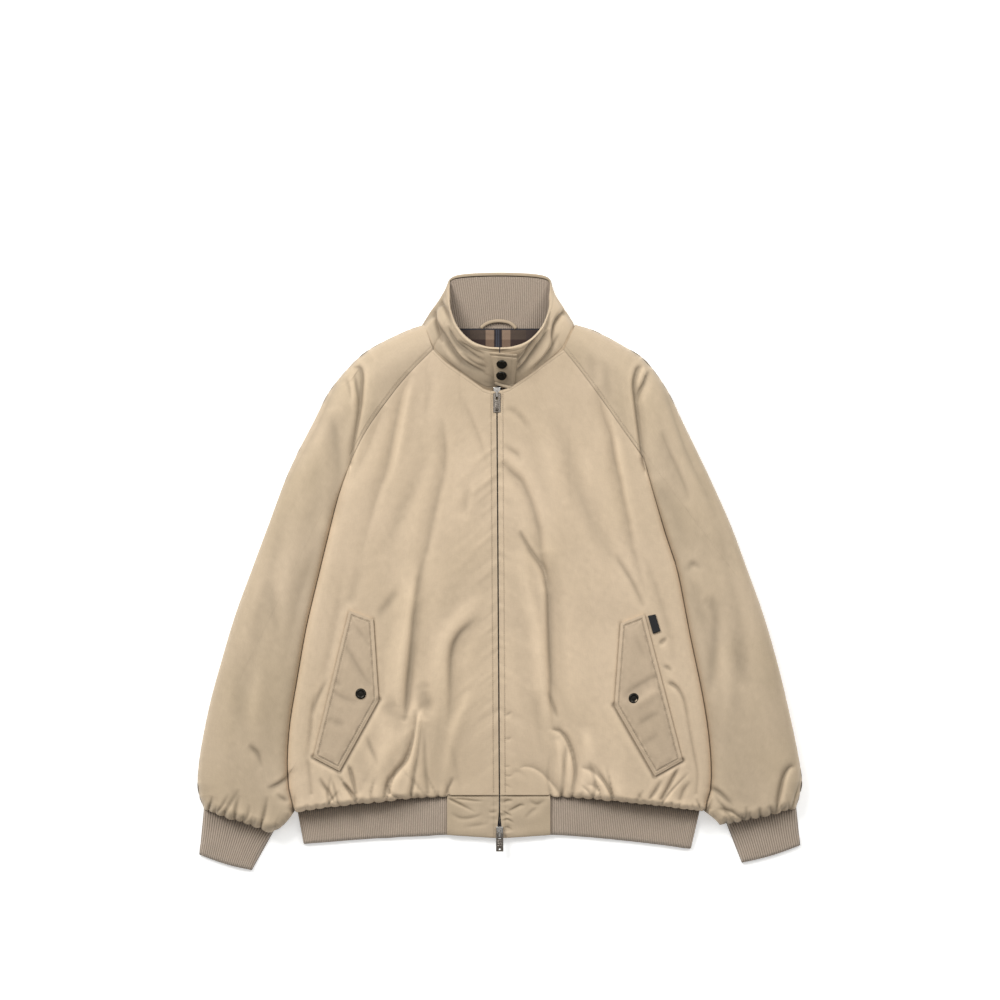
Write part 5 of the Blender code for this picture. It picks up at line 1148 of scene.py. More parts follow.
def make_sleeve_front(side):
    """Front part of a sleeve: rolled over at its outer edge, gathered at the cuff."""
    plan = sleeve_plan(side, eased(118, 0.75), eased(340, 0.5))
    x, y = plan[..., 0], plan[..., 1]
    height = jacket_height(x, y)
    roll = rounded(distance_to(OUTLINES[side], x, y), 7.0)
    low = np.minimum(meeting_height(x, y) + LAYER_GAP, height - 1.5)
    height = low + (height - low) * (0.15 + 0.85 * roll)
    grid = puffed_cuff(np.dstack((plan, height)), side)
    points = skirted(grid, low, 0.4)
    line = raglan(side) + np.array((SIDES[side] * RAGLAN_STITCH[0], RAGLAN_STITCH[1]))
    stitch = stitch_distances(points, [coarse(line, 12)])
    shade = 0.7 * np.exp(-(distance_to(SEAM_LINES[side], x, y) / 0.8) ** 2)
    shade += 0.5 * np.exp(-distance_to(SEAM_LINES[side], x, y) / 9.0) * smoothstep(190.0, 150.0, y)
    shade += 1.8 * np.exp(-(distance_to(CUFF_SEAMS[side], x, y) / 1.6) ** 2)
    piece = grid_object(f"sleeve_{side}_front_cloth", points, shell_cloth("sleeve"), lengths(points), stitch,
                        flip=side == "right", shaded=np.pad(shade, 1, "edge"), turned_down=True)
    finish_piece(piece, "jacket", [f"sleeve_front_{side}"])
    return piece


def make_sleeve_back(side):
    """Back part of a sleeve: a flat slab under the front part, its rim pulled in 0.9 mm."""
    plan = sleeve_plan(side, eased(24, 0.6), eased(80, 0.4))
    _, above, _ = cuff_frame(side, plan[..., 0], plan[..., 1])
    corner = np.asarray(CUFF_CORNERS[side][1]) - np.asarray(CUFF_CORNERS[side][0])
    up = np.array((-corner[1], corner[0])) * -SIDES[side] / np.linalg.norm(corner)
    plan = plan + 4.0 * np.exp(-(above / 9.0) ** 2)[..., None] * up
    x, y = plan[..., 0], plan[..., 1]
    top = np.clip(jacket_height(x, y) - 2.5, 0.8, meeting_height(x, y))
    points, faces, rim = slab(plan, top)
    if side == "right":
        faces = faces[:, ::-1]
    pulled = points[rim, :2].mean(0) - points[rim, :2]
    pulled *= 0.9 / np.linalg.norm(pulled, axis=1, keepdims=True)
    points[rim, :2] += pulled
    points[rim + x.size, :2] += pulled
    cloth = np.column_stack((points[:, :2], np.zeros(len(points))))
    stitch = np.full((len(points), 3), STITCH_REACH)
    piece = mesh_object(f"sleeve_{side}_back_cloth", points, faces, shell_cloth("sleeve"),
                        {"cloth_mm": cloth, "stitch_mm": stitch})
    finish_piece(piece, "jacket", [f"sleeve_back_{side}"])
    return piece


# ---- knit -----------------------------------------------------------------------------------------
def knit_settings():
    """Width and depth of a rib in millimetres."""
    knit = bpy.context.scene.jacket_knit
    return knit.rib_pitch / MM, knit.rib_depth / MM


def rib_profile(across, pitch):
    """1 on the crest of a rib and 0 in its furrow, rounded: |sin(pi x / pitch)| ^ 0.7."""
    return np.abs(np.sin(np.pi * across / pitch)) ** 0.7


def make_hem_rib():
    """Hem band: upper layers right and left with their ribs, fold at each side, and the lower layer."""
    pitch, depth = knit_settings()
    parts, faces, cloths, start = [], [], [], 0
    for side, sign in SIDES.items():
        at_seam, at_end = HEM_FOLD[side]
        length = abs(at_seam - BLOCK_X[side])
        ribs = int(length / pitch)
        flat = np.linspace(0.0, 1.0, ribs * POINTS_PER_RIB + 1)
        fold = np.linspace(0.0, 1.0, 9)[1:]
        u = np.concatenate((flat, 1.0 + 0 * fold))
        turn = np.concatenate((0 * flat, fold))
        v = np.linspace(0.0, 1.0, 22)[:, None]
        fold_x = at_seam + (at_end - at_seam) * v
        skew = sign * 5.0 * np.sin(np.pi * np.clip((u - 0.55) / 0.45, 0, 1)) * (v - 0.5)
        x = BLOCK_X[side] + (fold_x - BLOCK_X[side]) * u[None, :] + skew
        near = np.abs(x - fold_x)
        crest = rib_profile(u * ribs * pitch, pitch)[None, :] + 0 * v
        round_side = rounded(near, 9.0)
        z = HEM_RIB_TOP - depth + depth * crest - 3.6 * (1 - round_side)
        z = z + 0.5 * ripple(x, 0 * x + 40 * v, (26.0, 14.0), 11)
        dent = np.exp(-((x - (fold_x - sign * (34 - 30 * v))) / 7.0) ** 2)
        z = z - 1.2 * dent * (1 - v)
        seam = hem_seam_y(x) + 1.5
        y = seam + (hem_bottom_y(x) - seam) * v
        y = y + 0.5 * ripple(x, 0 * x, (18.0, 10.0), 12) * v
        tuck = np.clip((v - 0.93) / 0.07, 0, 1)
        z = z - 3.0 * tuck ** 2
        low = z[:, -9:-8] * (1 - turn[None, -8:]) + 0.2 * turn[None, -8:]
        x[:, -8:] = x[:, -9:-8] + sign * 0.8 * np.sin(np.pi * turn[-8:]) - sign * 2.0 * turn[-8:]
        z[:, -8:] = low
        y[:, -8:] = y[:, -9:-8]
        bottom = np.dstack((x[-1:], y[-1:], 0 * x[-1:] + 0.3))
        grid = np.concatenate((np.dstack((x, y, z)), bottom))
        # Painted shadow: the knit just below the hem seam is drawn darker, as if in a furrow, over its first
        # 5 mm
        under = 1.2 * np.exp(-(58.0 * v / 5.0) ** 2)
        cloth = np.dstack((np.broadcast_to(u * ribs * pitch, x.shape), 58.0 * v + 0 * x, crest - under))
        cloth = np.concatenate((cloth, cloth[-1:] + np.array((0, 5.0, 0))))
        number = grid_numbers(*grid.shape[:2], start=start)
        faces.append(number if sign < 0 else number[:, ::-1])
        parts.append(grid.reshape(-1, 3))
        cloths.append(cloth.reshape(-1, 3))
        start += grid[..., 0].size
    # Lower layer: what shows behind the blocks, and the flat underside
    x = np.linspace(HEM_FOLD["right"][1] + 2, HEM_FOLD["left"][1] - 2, 120)
    v = np.linspace(0.0, 1.0, 8)[:, None]
    wide = np.linspace(HEM_FOLD["right"][0] + 2, HEM_FOLD["left"][0] - 2, 120)
    x = wide + (x - wide) * v
    seam = hem_seam_y(x) + 1.5
    y = seam + (hem_bottom_y(x) - seam) * v
    for z, flip in ((3.8, False), (0.2, True)):
        grid = np.dstack((x, y, np.full_like(x, z)))
        number = grid_numbers(*x.shape, start=start)
        faces.append(number[:, ::-1] if not flip else number)
        parts.append(grid.reshape(-1, 3))
        cloths.append(np.dstack((x, y, np.full_like(x, 0.7))).reshape(-1, 3))
        start += x.size
    piece = mesh_object("hem_rib_knit", np.vstack(parts), np.vstack(faces), rib_knit(),
                        {"cloth_mm": np.vstack(cloths)})
    finish_piece(piece, "jacket", ["hem_rib"])
    return piece


def make_cuff(side):
    """Cuff: a flattened tube of rib, its section a closed loop carried from the seam to the open end."""
    pitch, depth = knit_settings()
    seam_outer, seam_inner, end_outer, end_inner = (np.asarray(p, float) for p in CUFF_CORNERS[side])
    width = np.linalg.norm(seam_inner - seam_outer)
    pitch = CUFF_RIB_SCALE * pitch
    ribs = int(width / pitch)
    u = np.linspace(0.0, 1.0, ribs * POINTS_PER_RIB + 1)
    v = np.linspace(-0.03, 1.0, 30)[:, None]
    crest = rib_profile(u * ribs * pitch, pitch)[None, :] + 0 * v
    from_edge = np.minimum(u, 1 - u)[None, :] * (width + (np.linalg.norm(end_inner - end_outer) - width) * v)
    z = 1.4 + 7.0 * rounded(from_edge, 9.0) - depth + depth * crest
    left = seam_outer + (end_outer - seam_outer) * v
    right = seam_inner + (end_inner - seam_inner) * v
    waist = (right - left) / np.linalg.norm(right - left, axis=1, keepdims=True) * 1.5 * np.sin(np.pi * v)
    left, right = left + waist, right - waist
    bend = SIDES[side] * -6.0 * np.sin(np.pi * u) * 0.4
    plan = left[:, None] * (1 - u)[None, :, None] + right[:, None] * u[None, :, None]
    down = (end_outer - seam_outer) / np.linalg.norm(end_outer - seam_outer)
    plan = plan + (np.abs(bend) * v)[..., None] * down
    z = z + 0.5 * ripple(plan[..., 0], plan[..., 1], (15.0, 22.0), 21) * rounded(from_edge, 9.0)
    z = np.maximum(z - 3.2 * np.clip((v - 0.94) / 0.06, 0, 1) ** 2, 0.15)
    upper = np.dstack((plan, z))
    inside = upper[-1:].copy()
    inside[..., 2] = 4.4
    deeper = inside.copy()
    deeper[..., :2] -= 14.0 * down
    low = upper[[-1, 0]].copy()
    low[..., 2] = 0.1
    grid = np.concatenate((low[1:], upper, inside, deeper))
    under_high = deeper.copy()
    under_high[..., 2] = 4.0
    lip = inside.copy()
    lip[..., 2] = 3.6
    lower = np.concatenate((under_high, lip, low[:1], low[1:]))
    # Cloth coordinates for the knit's stitches: round the cuff, up it, and how high the rib stands
    shape, shape_low = grid.shape[:2], lower.shape[:2]
    around = u * ribs * pitch
    cloth = np.dstack(np.broadcast_arrays(around, np.linspace(-5, 66, shape[0])[:, None], crest[0]))
    cloth_low = np.dstack(np.broadcast_arrays(around, np.zeros(shape_low), crest[0]))
    faces = np.vstack((grid_numbers(*shape), grid_numbers(*shape_low, start=grid[..., 0].size)))
    if side == "right":
        faces = faces[:, ::-1]
    points = np.vstack((grid.reshape(-1, 3), lower.reshape(-1, 3)))
    clothes = np.vstack((cloth.reshape(-1, 3), cloth_low.reshape(-1, 3)))
    piece = mesh_object(f"cuff_{side}_knit", points, faces, rib_knit(), {"cloth_mm": clothes})
    finish_piece(piece, "jacket", [f"cuff_{side}"])
    return piece


# ---- hem blocks -----------------------------------------------------------------------------------
def block_plan(side, u, v):
    """Plan of a hem block, u from rib to zip and v downwards; it parts from the zip at its foot."""
    sign = SIDES[side]
    rib_edge = BLOCK_X[side] + sign * 1.2
    x = rib_edge * (1 - u) + (zip_x(HEM_Y) + sign * ZIP_GAP / 2) * u + 0 * v
    seam = hem_seam_y(x) + BLOCK_UNDER
    y = seam + (hem_bottom_y(x) - seam) * v
    opening = ZIP_GAP / 2 + 2.2 * smoothstep(-334.0, -364.0, y)
    return rib_edge * (1 - u) + (zip_x(HEM_Y) + sign * opening) * u, y


# Puckers of the blocks: as CREASES
BLOCK_CREASES = {
    "right": (
        (2.4, 1.4, 1.3, ((448, 799, 0.6), (452, 801, 3.0), (460, 805, 3.0), (470, 810, 1.4), (476, 813, 0))),
        (2.0, 1.4, 1.4, ((454, 799.5, 0), (462, 800, 2.0), (474, 801.5, 1.8), (484, 802, 0))),
        (3, 3, 1.8, ((450, 813, 0), (461, 819, 1.6), (474, 818, 1.2), (484, 814, 0))),
        (3, 3, 1.8, ((462, 828, 0), (478, 826, 1.0), (490, 824, 0))),
        (1.6, 1.6, 1.4, ((488, 812, 0), (492, 813, 1.0), (497, 812, 0))),
    ),
    "left": (
        (1.6, 2.2, 1.3, ((503, 803, 0.6), (508, 801, 2.0), (514, 801.5, 0))),
        (2.0, 2.6, 1.3, ((507, 812, 0), (513, 809.5, 2.4), (520, 806, 2.4), (526, 806, 0))),
        (1.4, 2.0, 1.3, ((502, 811, 0.6), (507, 814, 2.2), (513, 817, 0))),
        (1.4, 2.0, 1.3, ((503, 821, 0.6), (508, 820, 2.2), (515, 824, 0))),
        (1.4, 1.8, 1.3, ((504, 828, 0), (508, 828, 1.6), (513, 831, 0))),
        (3, 3, 1.8, ((528, 800, 0), (537, 805, 1.8), (546, 800, 0))),
        (3, 4, 1.8, ((524, 820, 0), (532, 812, 1.4), (542, 806, 0))),
    ),
}


def block_height(x, y, u, v, side):
    """Double cloth: 12.6 mm over the table, rounded at its lower edge, puckered along zip and seam."""
    from_edge = np.minimum(v * 60 + 3, (1 - v) * 58.0)
    z = 8.0 + 4.6 * rounded(from_edge, 12.0)
    near_zip = np.exp(-((1 - u) * 70 / 12.0) ** 2)
    near_rib = np.exp(-(u * 70 / 16.0) ** 2)
    z = z + 1.3 * near_zip * ripple(x, y * 1.6, (12.0, 8.0), 31) + 0.7 * ripple(x, y, (22.0, 16.0), 32)
    return z - crease_depth(x, y, in_millimetres(BLOCK_CREASES[side])) - 0.2 * near_rib


def make_hem_block(side):
    """A cloth block beside the zip's lower end, over the hem rib."""
    u, v = np.linspace(0, 1, 86)[None, :], np.linspace(0, 1, 76)[:, None]
    x, y = block_plan(side, u, v)
    grid = np.dstack((x, y, block_height(x, y, u, v, side)))
    points = skirted(grid, np.full_like(x, 4.4), 0.5)
    sign = SIDES[side]
    zip_stitch = ZIP_LINE + np.array((sign * ZIP_STITCH, 0.0))
    seam = np.column_stack((HEM_X, hem_seam_y(HEM_X) - 3.2))[8:17]
    stitch = stitch_distances(points, [zip_stitch, seam])
    piece = grid_object(f"hem_block_{side}_cloth", points, shell_cloth("sleeve"), lengths(points), stitch,
                        flip=side == "right", turned_down=True)
    finish_piece(piece, "jacket", [f"hem_block_{side}"])
    return piece


# ---- collar ---------------------------------------------------------------------------------------
COLLAR_CURVE = 480
COLLAR_MADE = {}


def collar_curves():
    """Base and top curves of the collar's outer face and its inward normals, centre front round the back."""
    if "curves" in COLLAR_MADE:
        return COLLAR_MADE["curves"]
    half = np.array(COLLAR_TOP, float)
    rim = np.vstack((half, half[-2:0:-1] * np.array((-1, 1, 1)), half[:1]))
    foot = np.array(COLLAR_BASE["left"] + COLLAR_BASE["right"][-2::-1], float)
    base, top = (smooth_curve(loop, COLLAR_CURVE) for loop in (foot, rim))
    for curve in (base, top):
        curve[:, 2] = np.maximum(curve[:, 2], 0.0)
    on_body = smoothstep(9.0, 16.0, base[:, 2])
    base[:, 2] += on_body * (jacket_height(base[:, 0], base[:, 1]) - 3.0 - base[:, 2])
    normal = np.cross(np.gradient((base + top) / 2, axis=0), top - base)
    normal /= np.linalg.norm(normal, axis=1)[:, None]
    reach = 11
    around = np.pad(normal, ((reach, reach), (0, 0)), "edge")
    window = np.hanning(2 * reach + 3)[1:-1]
    normal = np.column_stack([np.convolve(around[:, axis], window, "valid") for axis in range(3)])
    normal /= np.linalg.norm(normal, axis=1)[:, None]
    COLLAR_MADE["curves"] = base, top, normal * np.sign(normal[COLLAR_CURVE // 2, 2])
    return COLLAR_MADE["curves"]


# Creases of the collar's outer face: as CREASES
COLLAR_CREASES = (
    (6, 6, 2.0, ((446, 286, 0), (441, 297, 2.6), (434, 310, 2.6), (427, 322, 0))),
    (2.4, 3.4, 1.2, ((431, 306, 4.0), (434, 313, 6.0), (436, 322, 6.5), (439, 333, 5.0), (443, 344, 0))),
    (2.6, 3.6, 1.25, ((438, 299, 4.0), (443, 305, 5.5), (447, 313, 5.0), (450, 322, 2.5), (452, 330, 0))),
    (2.6, 6, 1.15, ((434, 318, 0), (439, 327, 5.0), (445, 338, 7.5), (451, 348, 8.5), (458, 356, 8.5),
                    (466, 364, 7.0), (475, 369, 4.5), (484, 373, 2.0))),
    (2.6, 4, 1.2, ((448, 326, 0), (452, 336, 5.0), (458, 345, 7.0), (466, 352, 7.0), (474, 357, 4.6),
                   (483, 361, 1.6))),
    (2.4, 3, 1.3, ((458, 341, 0), (466, 347, 3.5), (475, 352, 3.0), (483, 355, 1.0))),
    (2.6, 3.4, 1.25, ((462, 353, 0), (469, 360, 4.5), (477, 365, 4.0), (485, 368, 1.6))),
    (5, 6, 2.0, ((440, 338, 0), (450, 355, -3.0), (460, 366, -2.0), (470, 373, 0))),
    (4, 4, 1.8, ((454, 348, 0), (463, 357, -3.0), (474, 364, -2.6), (484, 368, 0))),
    (5, 5, 2.0, ((478, 347, 0), (490, 351, 2.0), (502, 352, 1.4), (512, 350, 0))),
    (4, 2.2, 1.15, ((566, 309, 5.0), (561, 314, 7.0), (556, 321, 7.5), (553, 330, 6.5), (552, 341, 3.5),
                    (552, 348, 0))),
    (3.6, 2.4, 1.2, ((549, 330, 0), (544, 338, 5.5), (538, 347, 7.5), (532, 356, 8.0), (525, 365, 7.0),
                     (518, 371, 5.0))),
    (3, 2.2, 1.2, ((543, 330, 0), (537, 339, 5.0), (531, 348, 6.5), (525, 357, 6.5), (518, 364, 5.0))),
    (3, 2.4, 1.3, ((536, 341, 0), (530, 348, 4.0), (524, 354, 4.5), (518, 359, 3.0))),
    (3, 3, 1.5, ((551, 312, 0), (547, 327, 4.0), (541, 340, 0))),
    (3, 3, 1.5, ((560, 333, 0), (551, 349, 3.6), (541, 362, 3.0), (530, 372, 0))),
    (4, 4, 1.9, ((552, 338, 0), (543, 352, -3.0), (533, 364, -2.0), (524, 372, 0))),
)


def collar_places(u):
    """Places on the collar's curves for u, kept clear of the gap where its two ends meet."""
    return 0.6 / COLLAR_CURVE + u * (1 - 1.2 / COLLAR_CURVE)


def collar_point(u, v, depth):
    """Collar surface: base (1 - v) + top v + inward normal times depth; u round it, v up it."""
    base, top, normal = collar_curves()
    base, top, normal = (at(curve, collar_places(u)) for curve in (base, top, normal))
    return base * (1 - v) + top * v + normal * depth


def make_collar():
    """Outer cloth up the collar, round its rolled rim and a little way down inside."""
    u = np.linspace(0, 1, 641)
    rise = eased(52, 0.3)
    rim_angle = np.linspace(0, np.pi, 9)[1:]
    v = np.concatenate((rise * 1.022 - 0.05, 0.972 + 0.028 * np.sin(rim_angle),
                        0.972 - np.linspace(0, 0.022, 4)[1:]))
    depth = np.concatenate((0 * rise, 2.4 * (1 - np.cos(rim_angle)), np.full(3, 4.8)))
    points = np.array([collar_point(u, share, inward) for share, inward in zip(v, depth)])
    shape = points.shape[:2]
    outside = (np.arange(len(v)) < len(rise)).astype(float)[:, None]
    inward = at(collar_curves()[2], collar_places(u))[None]
    puff = 2.0 * np.sin(np.pi * np.clip(np.arange(len(v)) / len(rise), 0, 1))[:, None]
    crease = crease_depth(points[..., 0], points[..., 1], in_millimetres(COLLAR_CREASES))
    crease = crease * smoothstep(10.0, 22.0, points[..., 2])
    move = (crease - puff * 0.8 + 0.6 * ripple(points[..., 0], points[..., 1], (13.0, 17.0), 41)) * outside
    move *= smoothstep(0.0, 0.12, np.minimum(v / 0.965, 1.03 - v)[:, None] + 0.02)
    move = np.where(points[..., 2] < 3.0, np.maximum(move, 0.0), move)
    points = points + inward * move[..., None]
    points[..., 2] = np.maximum(points[..., 2], 0.0)
    length = np.linalg.norm(np.diff(points[len(rise) // 2], axis=0), axis=1)
    across = np.concatenate(([0.0], np.cumsum(length)))
    rise_mm = np.where(np.arange(len(v)) < len(rise), v * 62.0, 62.0 + depth)
    cloth = np.dstack((np.broadcast_to(across, shape), np.broadcast_to(rise_mm[:, None], shape)))
    below_rim, above_base = (np.broadcast_to((rise_mm - at_mm)[:, None], shape) for at_mm in (56.5, 3.0))
    stitch = np.dstack((below_rim, above_base, np.full(shape, STITCH_REACH)))
    stitch = np.clip(stitch, -STITCH_REACH, STITCH_REACH)
    shade = 0.2 * np.clip(crease, 0.0, 9.0) * outside - 0.9 * smoothstep(10.0, 40.0, points[..., 0]) * outside
    shade = shade + 0.35 * smoothstep(-15.0, -45.0, points[..., 0]) * outside
    beside_tab = distance_to(coarse(np.array(TAB[1:3]), 9), points[..., 0], points[..., 1])
    below_tab = distance_to(coarse(np.array(TAB[2:]), 9), points[..., 0], points[..., 1])
    shade = shade + (1.7 * np.exp(-beside_tab / 2.2) + 1.0 * np.exp(-below_tab / 2.2)) * outside
    at_back = smoothstep(0.30, 0.36, u) * smoothstep(0.70, 0.64, u)
    shade = shade + 0.9 * at_back * (np.arange(len(v)) >= len(rise))[:, None]
    piece = grid_object("collar_cloth", points, shell_cloth("collar"), cloth, stitch, shaded=shade)
    finish_piece(piece, "jacket", ["collar_shell"])
    return piece


def make_collar_rib():
    """Rib lining of the collar: ribs run up it, so the wave runs round it."""
    pitch, depth = knit_settings()
    base, top, _ = collar_curves()
    length = np.linalg.norm(np.diff((base + top) / 2, axis=0), axis=1).sum()
    ribs = int(length / pitch)
    u = np.linspace(0, 1, ribs * POINTS_PER_RIB + 1)
    wave = rib_profile(u * ribs * pitch, pitch)
    v = np.linspace(0.0, 0.93, 30)
    front = smoothstep(0.30, 0.22, np.minimum(u, 1 - u))
    bows = np.sin(np.pi * np.minimum(v * 1.08, 1.0))
    rows = [collar_point(u, share, (5.0 + depth * (wave - 0.5) + (0.8 + 3.6 * front) * bow)[:, None])
            for share, bow in zip(v, bows)]
    points = np.array(rows)
    points[..., 2] = np.maximum(points[..., 2], 0.4)
    shape = points.shape[:2]
    cloth = np.dstack(np.broadcast_arrays(u * ribs * pitch, (v * 80)[:, None], 0.72 * wave))
    mesh = mesh_object("collar_rib_knit", points.reshape(-1, 3), grid_numbers(*shape)[:, ::-1], rib_knit(),
                       {"cloth_mm": cloth.reshape(-1, 3)})
    finish_piece(mesh, "jacket", ["collar_rib"])
    return mesh


# ---- pieces that lie on the cloth -----------------------------------------------------------------
def quad_patch(corners, u, v):
    """Bilinear plan between four corners."""
    a, b, c, d = (np.array(corner, float) for corner in corners)
    u, v = u[None, :, None], v[:, None, None]
    return (a * (1 - u) + b * u) * (1 - v) + (d * (1 - u) + c * u) * v


def tab_height(y):
    """Upper face of the collar tab: the collar's slope up to its rim, 4.5 mm over it."""
    share = np.clip((y - 262.0) / (306.0 - 262.0), -0.3, 1.1)
    slope = 39.0 + 37.5 * np.clip(share, 0.0, 1.1)
    return slope + 4.5 * np.clip(share + 0.3, 0, 1) ** 0.3 - 6.0 * np.clip(-share, 0, 1)


def make_tab():
    """Collar tab: double cloth that lies on the collar, sunk where it is sewn on."""
    u, v = eased(44, 0.5), eased(56, 0.5)
    plan = quad_patch(TAB, u, v)
    x, y = plan[..., 0], plan[..., 1]
    z = tab_height(y)
    inner = np.minimum(np.minimum(v[:, None], 1 - v[:, None]) * 48, (1 - u[None, :]) * 34)
    z = z - 1.6 * (1 - rounded(inner, 5.0)) + 0.5 * ripple(x, y, (9.0, 12.0), 51)
    z = z - 0.9 * np.exp(-((np.minimum(v[:, None], 1 - v[:, None]) * 48 - 4.5) / 1.5) ** 2)
    merge = smoothstep(0.0, 0.45, u)[None, :]
    z = z - 11.0 * (1 - merge)
    points = skirted(np.dstack((plan, z)), z - 3.6, 0.8)
    off_v = np.minimum(v[:, None], 1 - v[:, None]) * 48 - 4.5
    off_u = (1 - u[None, :]) * 34 - 4.5
    stitch = np.dstack((off_v + 0 * x, off_u + 0 * x, np.full_like(x, STITCH_REACH)))
    stitch = np.pad(np.clip(stitch, -STITCH_REACH, STITCH_REACH), ((1, 1), (1, 1), (0, 0)), "edge")
    piece = grid_object("collar_tab_cloth", points, shell_cloth("collar"), lengths(points), stitch, flip=True,
                        turned_down=True)
    finish_piece(piece, "jacket", ["collar_tab"])
    return piece


def node_values(name, kind="co"):
    """The vertices of a CAD node in metres, or their normals."""
    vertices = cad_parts[name].data.vertices
    values = np.empty(len(vertices) * 3)
    vertices.foreach_get(kind, values)
    return values.reshape(-1, 3)


def node_top(name, x, y):
    """Height of a CAD node's upper face at points, from its vertices: inverse-square mean of the nearest."""
    co = node_values(name)[node_values(name, "normal")[:, 2] > 0.05] / MM
    px, py = np.ravel(x), np.ravel(y)
    off = (px[:, None] - co[:, 0]) ** 2 + (py[:, None] - co[:, 1]) ** 2
    near = np.argpartition(off, 3, axis=1)[:, :3]
    weight = 1 / (np.take_along_axis(off, near, 1) + 1.0)
    return ((co[near, 2] * weight).sum(1) / weight.sum(1)).reshape(np.shape(x))


def flap_plan(side, u, v):
    """Five-sided flap: u from its sewn edge to its free edge, v from top to bottom."""
    a, b, c, d, e = (np.array(corner, float) for corner in FLAPS[side][:5])
    outer = np.array([a, e])
    lean = np.linalg.norm(c - b) / (np.linalg.norm(c - b) + np.linalg.norm(d - c))
    inner = np.vstack([b + (c - b) * s for s in np.linspace(0, 1, 41)] +
                      [c + (d - c) * s for s in np.linspace(0, 1, 41)[1:]])
    share = np.concatenate((np.linspace(0, lean, 41), np.linspace(lean, 1, 41)[1:]))
    free = np.column_stack([np.interp(v, share, inner[:, axis]) for axis in (0, 1)])
    sewn = at(outer, v)
    u = u[None, :, None]
    return sewn[:, None] * (1 - u) + free[:, None] * u


def flap_lines(side, inset):
    """The flap's closed outline, moved inwards."""
    corners = np.array(FLAPS[side][:5], float)
    middle = corners.mean(0)
    moved = []
    for before, here, after in zip(np.roll(corners, 1, 0), corners, np.roll(corners, -1, 0)):
        normals = []
        for start, end in ((before, here), (here, after)):
            n = np.array((-(end - start)[1], (end - start)[0]))
            n /= np.linalg.norm(n)
            normals.append(n if n @ (middle - start) > 0 else -n)
        bisector = normals[0] + normals[1]
        moved.append(here + bisector * inset / (1 + normals[0] @ normals[1]))
    return np.array(moved + moved[:1])


# Folds across the flaps: as CREASES
FLAP_CREASES = {
    "right": (
        (5, 9, 1.5, ((344, 636, 0), (348, 648, 1.4), (356, 662, 1.8), (367, 680, 1.2), (372, 688, 0))),
        (4, 7, 1.6, ((353, 622, 0), (362, 634, 1.2), (371, 648, 0))),
        (4, 6, 1.5, ((328, 688, 0), (340, 695, 1.2), (352, 700, 0.8), (360, 700, 0))),
        (6, 6, 1.8, ((326, 716, 0), (338, 722, 1.2), (348, 724, 0))),
        (4, 5, 1.5, ((330, 676, 0), (337, 682, 1.0), (344, 686, 0))),
    ),
    "left": (
        (5, 8, 1.5, ((622, 698, 0), (630, 690, 1.4), (641, 683, 1.8), (654, 676, 1.2), (662, 672, 0))),
        (7, 7, 1.9, ((626, 708, 0), (638, 701, -1.4), (652, 692, -1.4), (662, 688, 0))),
        (5, 7, 1.5, ((634, 728, 0), (642, 721, 1.2), (652, 715, 1.2), (662, 712, 0))),
        (5, 8, 1.6, ((640, 748, 0), (650, 738, 1.0), (660, 732, 0))),
        (5, 8, 1.6, ((634, 634, 0), (640, 648, 1.2), (646, 662, 0))),
    ),
}


def flap_surface(side, x, y):
    """Upper face of a flap: on the cloth, 3.4 mm over it, puffed between its stitched edges."""
    off = distance_to(flap_lines(side, 0.0), x, y)
    base = jacket_height(x, y)
    z = base + 3.0 + 1.0 * smoothstep(6.0, 16.0, off) - 0.8 * np.exp(-((off - FLAP_STITCH) / 1.3) ** 2)
    z = z - crease_depth(x, y, in_millimetres(FLAP_CREASES[side])) * smoothstep(4.0, 9.0, off)
    return z + 0.5 * ripple(x, y, (5.0, 5.0), 62) * np.exp(-((off - 6.0) / 3.0) ** 2)


def make_flap(side):
    """Pocket flap: its surface with a turned-down edge."""
    u, v = eased(46, 0.5), eased(150, 0.4)
    plan = flap_plan(side, u, v)
    x, y = plan[..., 0], plan[..., 1]
    z = flap_surface(side, x, y)
    points = skirted(np.dstack((plan, z)), z - 3.4, 0.4)
    outline = flap_lines(side, FLAP_STITCH)
    stitch = stitch_distances(points, [outline])
    off = distance_to(flap_lines(side, 0.0), x, y)
    shade = 0.15 * smoothstep(4.0, 6.0, off) - 0.5 * smoothstep(5.4, 4.0, off)
    piece = grid_object(f"pocket_flap_{side}_cloth", points, shell_cloth("flap"), lengths(points), stitch,
                        flip=side == "right", shaded=np.pad(shade, 1, "edge"), turned_down=True)
    finish_piece(piece, "jacket", [f"pocket_flap_{side}"])
    return piece


def make_tape():
    """Folded tape in the seam of the left pocket, bowed 0.5 mm."""
    u, v = np.linspace(0, 1, 12), np.linspace(0, 1, 22)
    plan = quad_patch(TAG, u, v)
    x, y = plan[..., 0], plan[..., 1]
    z = jacket_height(x, y) + 2.2 + 0.5 * np.sin(np.pi * u)[None, :]
    points = skirted(np.dstack((plan, z)), z - 1.4, 0.2)
    piece = grid_object("side_tape", points, woven_tape("tape_black_polyester", "#0C0C0E", "#18181B"),
                        flip=True)
    finish_piece(piece, "jacket", ["side_tag"])
    return piece


